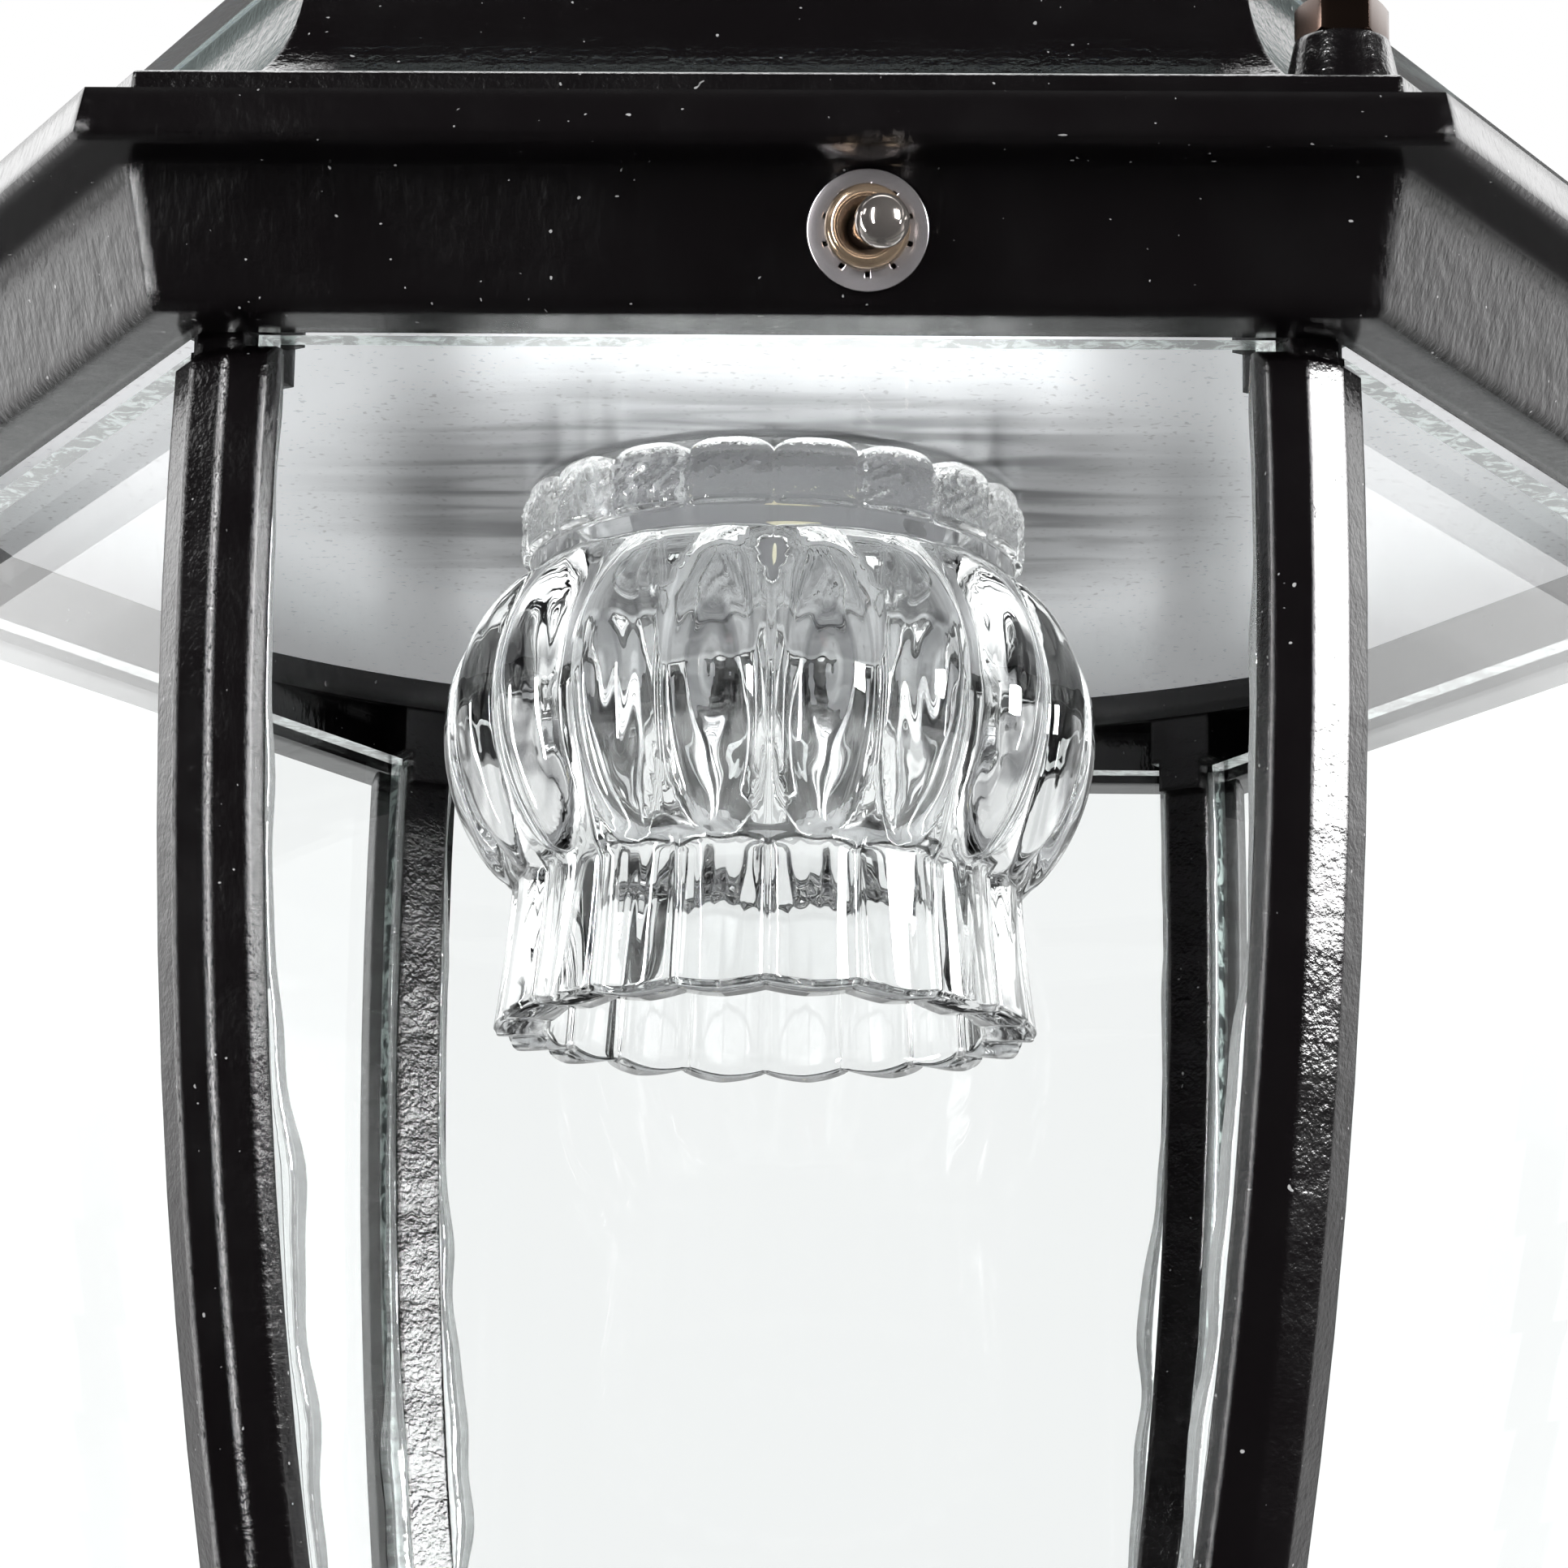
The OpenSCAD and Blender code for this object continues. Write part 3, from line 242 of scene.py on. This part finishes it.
def pane_rim():
    """Ground edge of a pane with crumbs of sealant on it."""
    g = material("pane_rim")
    crumbs = g.ramp(g.noise(420, 4.0, 0.7, g.coords(), 1.0), 0.42, 0.54)
    color = g.mix(crumbs, rgb(0.50, 0.60, 0.57), rgb(0.03, 0.04, 0.04))
    return g.done(g.principled(color, 0.3, Transmission_Weight=0.75, IOR=1.5))


def cup_glass():
    """Clear pressed glass: crinkled windows on the neck, oval rings in each half lobe, with painted shade
    along the rings and a painted dark oval in each half lobe.
    """
    g = material("cup_glass")
    at = g.coords()
    x, y, from_axis = g.from_cup_axis(at)
    z = g.parts(at)["Z"]

    # Place within a half lobe: across and along run from -1 to 1, reach from its middle outward
    around = g.math("SUBTRACT", g.math("ARCTAN2", x, g.product(y, -1.0)), CUP_TURN)
    turns = g.math("ADD", g.product(around, WINDOWS / (2 * math.pi)), 2.0 * WINDOWS)
    across = g.product(g.math("SUBTRACT", g.math("FRACT", turns), 0.5), 2.0)
    drop = g.math("DIVIDE", g.math("SUBTRACT", CUP_TOP_Z, z), MM)
    middle, half_height = (BELLY_TOP + BELLY_END) / 2 + 1.0, (BELLY_END - BELLY_TOP) / 2
    along = g.math("DIVIDE", g.math("SUBTRACT", drop, middle), half_height)
    warp = g.product(g.math("SUBTRACT", g.noise(50, 1.0, 0.5, at), 0.5), 0.18)
    reach = g.math("ADD", g.length(across, along), warp)
    outside = g.ramp(from_axis, (BELLY_GROOVE - 1.5) * MM, (BELLY_GROOVE - 0.5) * MM)
    on_lobe = g.product(g.ramp(reach, 0.75, 1.05, 1.0, 0.0), outside)
    ring = g.math("SINE", g.product(reach, 2 * math.pi * RINGS))

    on_windows = g.ramp(z, CUP_TOP_Z - (WINDOW_END - 0.1) * MM, CUP_TOP_Z - (WINDOW_END - 0.7) * MM)
    crackle = g.product(g.noise(480, 3.0, 0.6, at, 1.6), g.product(on_windows, 2.0))
    height = g.math("ADD", crackle, g.noise(90, 1.0, 0.5, at, 0.4))
    height = g.math("ADD", height, g.product(ring, on_lobe, 0.16))
    normal = g.bump(height, 0.25, 0.0003)

    # Painted shade: the clear glass is darkened along the ring ridges where refraction shows dark lines
    lines = g.product(g.ramp(ring, 0.45, 0.95), on_lobe, 0.55)
    color = g.mix(lines, rgb(0.985, 0.99, 0.99), rgb(0.40, 0.41, 0.42))
    # Painted shade: a dark oval in each half lobe stands in for the dark room seen refracted through the
    # lobe
    painted_shade_oval = g.product(g.ramp(reach, 0.16, 0.24), g.ramp(reach, 0.40, 0.50, 1.0, 0.0), on_lobe, 0.7)
    color = g.mix(painted_shade_oval, color, rgb(0.12, 0.12, 0.13))
    return g.done(g.principled(color, 0.0, Transmission_Weight=1.0, IOR=1.5, Normal=normal))


def sealant_glass():
    g = material("clear_sealant")
    at = g.coords()
    normal = g.bump(g.noise(300, 2.0, 0.6, at), 0.5, 0.0004)
    more = {"Transmission_Weight": 0.92, "IOR": 1.41, "Normal": normal}
    return g.done(g.principled(rgb(0.90, 0.92, 0.92), 0.12, **more))


def solar_cells(turn):
    """Dark cells with fine silver lines, drawn along one panel's own directions."""
    g = material(f"solar_cells_{turn % 360}")
    at = g.coords()
    a = math.radians(turn)

    def measured_along(direction):
        return g.add("VectorMath", {0: at, 1: direction}, operation="DOT_PRODUCT").outputs["Value"]

    def lines(value, pitch, half_width, shift=0.0):
        folded = g.math("PINGPONG", g.math("ADD", value, shift), pitch / 2)
        return g.math("LESS_THAN", folded, half_width)

    across = measured_along((-math.sin(a), math.cos(a), 0))
    down = measured_along((math.cos(a) / COS30, math.sin(a) / COS30, 0))
    columns = lines(across, CELL_WIDTH, GAP_HALF, CELL_WIDTH / 2)
    gaps = g.math("MAXIMUM", columns, lines(down, CELL_LENGTH, GAP_HALF))
    fingers = lines(down, FINGER_PITCH, FINGER_HALF)
    bars = g.math("MAXIMUM", lines(across, BUSBAR_PITCH, BUSBAR_HALF), fingers)
    tint = g.noise(60, 4.0, 0.7, at)
    cell = g.mix(tint, rgb(0.006, 0.012, 0.045), rgb(0.012, 0.024, 0.075))
    color = g.mix(bars, cell, rgb(0.30, 0.32, 0.36))
    color = g.mix(gaps, color, rgb(0.35, 0.36, 0.38))
    cells = g.principled(color, 0.32, Coat_Weight=1.0, Coat_Roughness=0.03)
    bare = g.principled(rgb(0.80, 0.93, 0.91), 0.05, Transmission_Weight=1.0, IOR=1.5)
    border = g.math("GREATER_THAN", down, PANEL_END - PANEL_BORDER)
    return g.done(g.add("MixShader", {0: border, 1: cells, 2: bare}).outputs[0])


# Which finish each node gets

PAINT = black_paint("black_paint", 0.0006)
RING_PAINT = black_paint("black_paint_ring", 0.0024, grain=1000, depth=0.00009, streak=0.5)
CAGE_PAINT = black_paint("black_paint_cage", 0.0009, level=0.26, grain=1700, depth=0.00006)
RIM = pane_rim()
SHEET = sheet_glass()
EDGE = plain("edge_glass", (0.74, 0.90, 0.86), 0.12, Transmission_Weight=1.0, IOR=1.5)
ZINC = plain("zinc_steel", (0.62, 0.62, 0.60), 0.32, 1.0)
NICKEL = plain("nickel", (0.33, 0.30, 0.28), 0.10, 0.95)
WASHER = plain("bright_nickel", (0.40, 0.38, 0.39), 0.22, 0.9)
NUT = plain("dull_nickel", (0.27, 0.20, 0.14), 0.20, 0.9)
BRONZE = plain("dark_bronze", (0.042, 0.027, 0.021), 0.24, 1.0)
BRASS = plain("brass", (0.72, 0.55, 0.28), 0.25, 1.0)
# The board's faint emission is a painted glow standing in for light inside the cup; the board is no lamp
BOARD_LOW_GLOSS_AND_GLOW = {"Specular_IOR_Level": 0.1, "Emission_Color": rgb(1.0, 1.0, 1.0), "Emission_Strength": 0.10}
FINISH = {
    "pier_base": PAINT, "roof": PAINT, "roof_cap": PAINT, "finial": PAINT,
    "cage": CAGE_PAINT, "top_ring": RING_PAINT,
    "base_screws": ZINC, "ring_screws": ZINC, "roof_studs": ZINC, "finial_stud": ZINC,
    "reflector_plate": mirror_plate(), "cup_seal": sealant_glass(),
    "led_board": plain("grey_board", (0.16, 0.16, 0.17), 0.8, **BOARD_LOW_GLOSS_AND_GLOW),
    "led_dome": plain("light_chip", (0.70, 0.66, 0.50), 0.15),
    "battery_tray": plain("black_plastic", (0.02, 0.02, 0.022), 0.5),
    "battery_cells": plain("cell_wrap", (0.04, 0.16, 0.40), 0.3),
    "board_standoffs": BRASS, "switch_terminals": BRASS,
    "control_board": plain("green_board", (0.02, 0.22, 0.07), 0.35),
    "switch_case": plain("red_plastic", (0.45, 0.03, 0.02), 0.35),
    "switch_bushing": NUT, "switch_washer": WASHER, "switch_nut": NUT, "switch_lever": NICKEL,
    "acorn_nuts": BRONZE,
}

# Edge radii in metres, for the small turned and milled pieces
BEVEL = {"acorn_nuts": 0.00025, "switch_washer": 0.0001, "switch_nut": 0.00015, "switch_bushing": 0.0001}
SHARP = math.radians(28)


def dress(name, mat, bevel=0.0):
    """Gives a CAD node its finish and, where bevel isn't 0, edges of that radius."""
    o = nodes[name]
    o.data.materials.clear()
    o.data.materials.append(mat)
    if bevel:
        o.data.polygons.foreach_set("use_smooth", [True] * len(o.data.polygons))
        o.data.set_sharp_from_angle(angle=SHARP)
        weld = o.modifiers.new("weld", "WELD")
        weld.merge_threshold = 0.000004
        m = o.modifiers.new("edges", "BEVEL")
        m.width = bevel
        m.segments = 2
        m.limit_method = "ANGLE"
        m.angle_limit = SHARP
        m.use_clamp_overlap = True


for name, mat in FINISH.items():
    dress(name, mat, BEVEL.get(name, 0.0))


def split_by_normal(name, direction, face_mat, rim_mat, limit):
    """Faces that look along direction, either way, take one finish and the rim the other."""
    mesh = nodes[name].data
    mesh.materials.clear()
    mesh.materials.append(face_mat)
    mesh.materials.append(rim_mat)
    d = Vector(direction).normalized()
    picks = [0 if abs(p.normal.dot(d)) > limit else 1 for p in mesh.polygons]
    mesh.polygons.foreach_set("material_index", picks)


for key, turn in TURNS.items():
    a = math.radians(turn)
    outward = (math.cos(a), math.sin(a), 0)
    upward = (math.cos(a) * SIN30, math.sin(a) * SIN30, COS30)
    split_by_normal("pane_" + key, outward, SHEET, RIM, 0.8)
    split_by_normal("solar_panel_" + key, upward, solar_cells(turn), EDGE, 0.9)


def new_mesh(name, verts, faces, mat):
    mesh = bpy.data.meshes.new(name)
    mesh.from_pydata([tuple(v) for v in verts], [], [tuple(f) for f in faces])
    mesh.materials.append(mat)
    mesh.polygons.foreach_set("use_smooth", [True] * len(mesh.polygons))
    mesh.update()
    o = bpy.data.objects.new(name, mesh)
    bpy.context.scene.collection.objects.link(o)
    return o


# The pressed glass cup: windows on the neck, split oval lobes, fluted skirt, scalloped rim


def smooth_step(x, a, b):
    t = np.clip((x - a) / (b - a), 0, 1)
    return t * t * (3 - 2 * t)


def softened(values, steps, width):
    """Gaussian blur of a profile sampled at steps, in the same units as width."""
    weights = np.exp(-0.5 * ((steps[:, None] - steps[None, :]) / width) ** 2)
    return (weights * values[None, :]).sum(1) / weights.sum(1)


def outer_radius(drop, half, full):
    """Radius at one drop. half runs -0.5..0.5 over a half lobe, full over a whole one."""
    across = 2 * np.abs(half)
    convex = np.sqrt(np.clip(1 - across**2, 0, 1))
    block = (1 - across**5) ** 0.5

    # Neck: one flat block with rounded corners per window
    windows = NECK_R - 1.5 * (1 - (0.75 * block + 0.25 * convex))
    windows = windows - 0.45 * (1 - smooth_step(drop, 0.0, 0.6))
    low = smooth_step(drop, WINDOW_END - 0.25, WINDOW_END + 0.25)
    neck = windows * (1 - low) + BAND_R * low

    # Belly: broad lobes, each split by a shallow valley, with seams between them
    t = np.clip((drop - BELLY_TOP) / (BELLY_END - BELLY_TOP), 0, 1)
    foot = BAND_R + (WAIST_R - BAND_R) * t
    bulge = max(math.sin(math.pi * t**0.95), 0.0) if 0 < t < 1 else 0.0
    valley = foot + (BELLY_GROOVE - foot) * bulge**0.86
    ends = np.abs(2 * t - 1) ** 2.8
    lens = np.clip(1 - across**2 - ends, 0, 1) ** 0.72
    broad = np.clip(1 - (2 * np.abs(full)) ** 2.4 - ends, 0, 1) ** 0.6
    seam = np.exp(-(((0.5 - np.abs(full)) / 0.05) ** 2))
    lobes = (BELLY_CREST - BELLY_GROOVE) * (0.72 * lens + 0.36 * broad)
    belly = valley + lobes - 0.9 * seam * bulge**0.5

    # Skirt: flutes that deepen towards the rim
    u = np.clip((drop - BELLY_END) / (CUP_H - BELLY_END), 0, 1)
    flutes = (0.9 + 0.6 * u) * (1 - (0.6 * convex + 0.4 * (1 - across)))
    flutes = flutes + (0.22 - 0.12 * u) * (0.5 + 0.5 * np.cos(4 * math.pi * half))
    skirt = WAIST_R + (RIM_R - WAIST_R) * u**1.3 - flutes - 0.5 * smooth_step(drop, CUP_H - 0.9, CUP_H)

    blend = smooth_step(drop, BELLY_END - 1.2, BELLY_END + 1.2)
    body = belly * (1 - blend) + skirt * blend
    mix = smooth_step(drop, BELLY_TOP - 0.4, BELLY_TOP + 0.4)
    return neck * (1 - mix) + body * mix


CRINKLE_DEPTH, CRINKLE_WAVES = 0.32, 26
PLAIN_WINDOWS, FAINT_WINDOW = [0, 5, 9, 12], 17


def crinkles(theta, drop):
    """Shear marks of the press in most windows of the neck, in mm."""
    local = np.random.default_rng(11)
    marked = np.ones(WINDOWS)
    marked[PLAIN_WINDOWS] = 0.0
    marked[FAINT_WINDOW] = 0.5
    window = np.floor(theta * WINDOWS / (2 * math.pi)).astype(int) % WINDOWS
    rough = np.zeros_like(theta)
    for _ in range(CRINKLE_WAVES):
        a, b = local.uniform(40, 260), local.uniform(0.8, 4.5)
        rough += local.uniform(0.3, 1) * np.sin(a * theta + b * drop + local.uniform(0, 6.28)) / 5
    inside = smooth_step(drop, 0.8, 1.6) * (1 - smooth_step(drop, 6.0, 6.9))
    return CRINKLE_DEPTH * np.clip(rough, -1.2, 1.2) * marked[window] * inside


def cup_mesh():
    """Points in metres and faces of the cup, as closed rings of points from outside top to inside top."""
    around = WINDOWS * COLUMNS_PER_WINDOW
    theta = np.arange(around) * 2 * math.pi / around
    half = (theta * WINDOWS / (2 * math.pi)) % 1.0 - 0.5
    full = (theta * WINDOWS / (4 * math.pi)) % 1.0 - 0.5
    across = 2 * np.abs(half)
    rise = 0.9 * across**1.6 + 0.12 * (1 + np.sin(5 * theta + 0.5))
    wobble = 0.10 * np.sin(3 * theta + 1.0) + 0.06 * np.sin(7 * theta + 0.4)

    outer_drops = np.unique(np.concatenate([
        np.linspace(0, 1, 5), np.linspace(1, 7, 22), np.linspace(7, 8, 9),
        np.linspace(8, BELLY_TOP - 0.5, 4), np.linspace(BELLY_TOP - 0.5, BELLY_END + 2, 90),
        np.linspace(BELLY_END + 2, CUP_H - 1, 22), np.linspace(CUP_H - 1, CUP_H, 6)]))
    rings = []
    for drop in outer_drops:
        r = outer_radius(drop, half, full) + crinkles(theta, drop)
        uneven = wobble * 0.4 * smooth_step(drop, 9, 14)
        arch = 1.0 * across**3 * (1 - smooth_step(drop, 0.0, 2.5))
        scallop = rise * smooth_step(drop, CUP_H - 9, CUP_H)
        rings.append((r + uneven - 0.05, -drop + scallop - arch))

    inner_profile = np.array([
        (0.0, 24.6), (9.0, 24.4), (12.0, 25.6), (16.0, 28.4), (21.0, 30.4), (27.0, 31.2), (33.0, 30.4),
        (38.0, 28.2), (42.0, 26.0), (46.0, 25.0), (52.0, 24.8), (CUP_H - 1.0, 25.0), (CUP_H, 25.6)])
    inner_drops = np.linspace(CUP_H, 0, 58)
    straight = np.interp(inner_drops, inner_profile[:, 0], inner_profile[:, 1])
    for drop, r in zip(inner_drops, softened(straight, inner_drops, 1.5)):
        swell = smooth_step(drop, 11, 20) * (1 - smooth_step(drop, 36, 44))
        ripple = 0.22 * np.cos(2 * math.pi * half) * swell
        scallop = (0.7 * rise + 0.1) * smooth_step(drop, CUP_H - 9, CUP_H)
        rings.append((r + wobble + ripple, -drop + scallop))

    sine, cosine = np.sin(theta + CUP_TURN), np.cos(theta + CUP_TURN)
    points = [
        np.stack([CUP_X / MM + r * sine, -r * cosine, CUP_TOP_Z / MM + z], 1)
        for r, z in rings]
    i, k = np.meshgrid(np.arange(len(rings)), np.arange(around), indexing="ij")
    j, m = (i + 1) % len(rings), (k + 1) % around
    faces = np.stack([i * around + k, j * around + k, j * around + m, i * around + m], -1)
    return np.concatenate(points) * MM, faces.reshape(-1, 4).tolist()


verts, faces = cup_mesh()
cup = new_mesh("pressed_glass_cup", verts, faces, cup_glass())
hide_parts("glass_cup")
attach(cup, "lantern")


# Beads of clear sealant along the panes, uneven as a hand lays them


def nose(drop):
    """Reach of the ribs' noses from the axis, in mm."""
    return BELLY_R - ARC_R + math.sqrt(ARC_R**2 - (drop - BELLY_DROP) ** 2)


def bead(turn, side, seed):
    """Points in metres and faces of one bead, in the corner between a pane's back and a web."""
    local = np.random.default_rng(seed)
    drops = np.linspace(BEAD_START, BEAD_END, BEAD_STEPS)
    wave = np.zeros(BEAD_STEPS)
    for f, amp in ((3, 0.5), (6, 0.45), (11, 0.35), (19, 0.25), (31, 0.15)):
        wave += amp * np.sin(f * drops / 60 + local.uniform(0, 6.28))
    lower = smooth_step(drops, 45, 85)
    widths = np.clip(1.3 + 1.5 * lower + wave * (0.4 + 0.7 * lower), 0.6, 4.6)

    verts = []
    a = math.radians(turn)
    out = Vector((math.cos(a), math.sin(a), 0))
    along = Vector((-math.sin(a), math.cos(a), 0))
    for d, w in zip(drops, widths):
        lean = math.sqrt(1 - ((d - BELLY_DROP) / ARC_R) ** 2)
        back = nose(d) * COS30 - PANE_OFFSET - PANE_T / lean
        y = side * (back * TAN30 - HALF_WEB / COS30)
        deep = 0.5 + 0.45 * w
        corner = (back + 0.05, y + side * 0.1)
        on_web = (corner[0] - COS30 * deep, corner[1] - side * 0.5 * deep)
        mid_web = (back - 0.85 * deep, y - side * 0.30 * w - side * 0.5 * deep * 0.4)
        mid_pane = (back - 0.50 * deep, y - side * 0.62 * w)
        on_pane = (back + 0.02, y - side * w)
        for p in (corner, on_web, mid_web, mid_pane, on_pane):
            q = out * p[0] + along * p[1]
            verts.append((q.x * MM, q.y * MM, LIP_Z - d * MM))

    faces = []
    for i in range(BEAD_STEPS - 1):
        for k in range(5):
            m = (k + 1) % 5
            faces.append((i * 5 + k, (i + 1) * 5 + k, (i + 1) * 5 + m, i * 5 + m))
    last = (BEAD_STEPS - 1) * 5
    faces += [(0, 1, 2, 3, 4), tuple(last + k for k in (4, 3, 2, 1, 0))]
    return verts, (faces if side > 0 else [face[::-1] for face in faces])


all_verts, all_faces = [], []
for i, turn in enumerate(TURNS.values()):
    for side in (-1, 1):
        bead_verts, bead_faces = bead(turn, side, 40 + 2 * i + (side > 0))
        base = len(all_verts)
        all_verts += bead_verts
        all_faces += [tuple(k + base for k in face) for face in bead_faces]
beads = new_mesh("sealant_beads", all_verts, all_faces, sealant_glass())
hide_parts("pane_sealant")
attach(beads, "lantern")


# Stage: pale floor, soft light, a darker room on the camera's side as in a studio

bpy.ops.mesh.primitive_plane_add(size=30, location=(0, 0, 0))
floor = bpy.context.object
floor.name = "floor"
floor.data.materials.append(plain("pale_floor", (0.82, 0.82, 0.82), 0.6))
floor.visible_glossy = False

world = bpy.data.worlds.new("studio")
bpy.context.scene.world = world
world.cycles.sampling_method = "NONE"

# The camera sees plain white. Reflections see white behind the part, brighter above, and a dark
# room on the camera's side. What the glass refracts is white behind and dim below and in front.
sky = Graph(world, "World")
to_side, to_back, to_sky = sky.parts(sky.add("TexCoord").outputs["Generated"])
ray = sky.add("LightPath").outputs

straight_back = sky.ramp(sky.math("ABSOLUTE", to_side), 0.03, 0.30, 0.55, 1.0)
below = sky.product(
    sky.ramp(to_back, 0.0, 0.55, 0.008, 1.5),
    sky.ramp(to_sky, -0.42, -0.22, 0.25, 1.0),
    straight_back)
above = sky.product(
    sky.ramp(to_back, 0.15, 0.52, 0.008, 2.6),
    sky.ramp(to_back, 0.62, 0.85, 1.0, 0.3),
    sky.ramp(to_sky, 0.0, 0.38, 0.5, 1.5))
mirrored = sky.choose(sky.ramp(to_sky, -0.12, 0.0), above, below)
through = sky.product(
    sky.ramp(to_back, -0.45, 0.25, 0.06, 1.0),
    sky.ramp(to_sky, -0.36, -0.10, 0.35, 1.0))
room = sky.choose(ray["Is Glossy Ray"], mirrored, 0.8)
room = sky.choose(ray["Is Transmission Ray"], through, room)
room = sky.choose(ray["Is Camera Ray"], 1.0, room)
sky.done(sky.add("Background", Color=rgb(1.0, 1.0, 1.0), Strength=room).outputs[0])


def softbox(name, azimuth, elevation, distance, width, height, radiance):
    """Area light that looks at the head, in degrees and metres. Azimuth 0 is the front, 90 the right."""
    light = bpy.data.lights.new(name, "AREA")
    light.shape = "RECTANGLE"
    light.size, light.size_y = width, height
    light.energy = radiance * math.pi * width * height
    a, e = math.radians(azimuth), math.radians(elevation)
    direction = Vector((math.sin(a) * math.cos(e), -math.cos(a) * math.cos(e), math.sin(e)))
    o = bpy.data.objects.new(name, light)
    bpy.context.scene.collection.objects.link(o)
    o.location = Vector((0, 0, LIP_Z)) + direction * distance
    o.rotation_mode = "QUATERNION"
    o.rotation_quaternion = direction.to_track_quat("Z", "Y")
    o.visible_camera = False
    o.visible_transmission = False
    return o


softbox("key_right", 63, 16, 2.2, 0.8, 1.1, 90)
softbox("wall_left", -96, -2, 2.2, 0.24, 2.4, 38)
softbox("line_left", -37, 6, 2.2, 0.24, 2.4, 120)
softbox("strip_right", 82, -5, 2.2, 0.10, 0.4, 30)
softbox("fill_left", -78, 26, 2.4, 0.4, 0.7, 5)
softbox("top", 180, 66, 2.4, 1.6, 1.0, 3)


# Camera, fitted to the photograph. Place in mm from the axis at the lip's height, angles in degrees,
# focal length and picture width in pixels.

CAM = {
    "x": 16.211, "y": -553.449, "z": -151.396,
    "pitch": 13.094, "yaw": -1.714, "roll": 0.847,
    "focal": 6105.392, "size": 1932,
}
SENSOR = 36.0

yaw, pitch, roll = (math.radians(CAM[k]) for k in ("yaw", "pitch", "roll"))
level = Vector((math.sin(yaw), math.cos(yaw), 0))
flat_right = Vector((math.cos(yaw), -math.sin(yaw), 0))
forward = level * math.cos(pitch) + Vector((0, 0, 1)) * math.sin(pitch)
flat_up = -level * math.sin(pitch) + Vector((0, 0, 1)) * math.cos(pitch)
right = flat_right * math.cos(roll) + flat_up * math.sin(roll)
up = -flat_right * math.sin(roll) + flat_up * math.cos(roll)
data = bpy.data.cameras.new("photo_camera")
data.sensor_width = SENSOR
data.lens = CAM["focal"] * SENSOR / CAM["size"]
data.clip_start = 0.01
camera = bpy.data.objects.new("photo_camera", data)
bpy.context.scene.collection.objects.link(camera)
axes = Matrix((right, up, -forward)).transposed().to_4x4()
place = Vector((CAM["x"] * MM, CAM["y"] * MM, LIP_Z + CAM["z"] * MM))
camera.matrix_world = Matrix.Translation(place) @ axes
bpy.context.scene.camera = camera

scene = bpy.context.scene
scene.view_settings.view_transform = "Standard"
scene.cycles.max_bounces = 14
scene.cycles.transmission_bounces = 12
scene.cycles.transparent_max_bounces = 16
scene.cycles.glossy_bounces = 5
scene.cycles.use_denoising = True
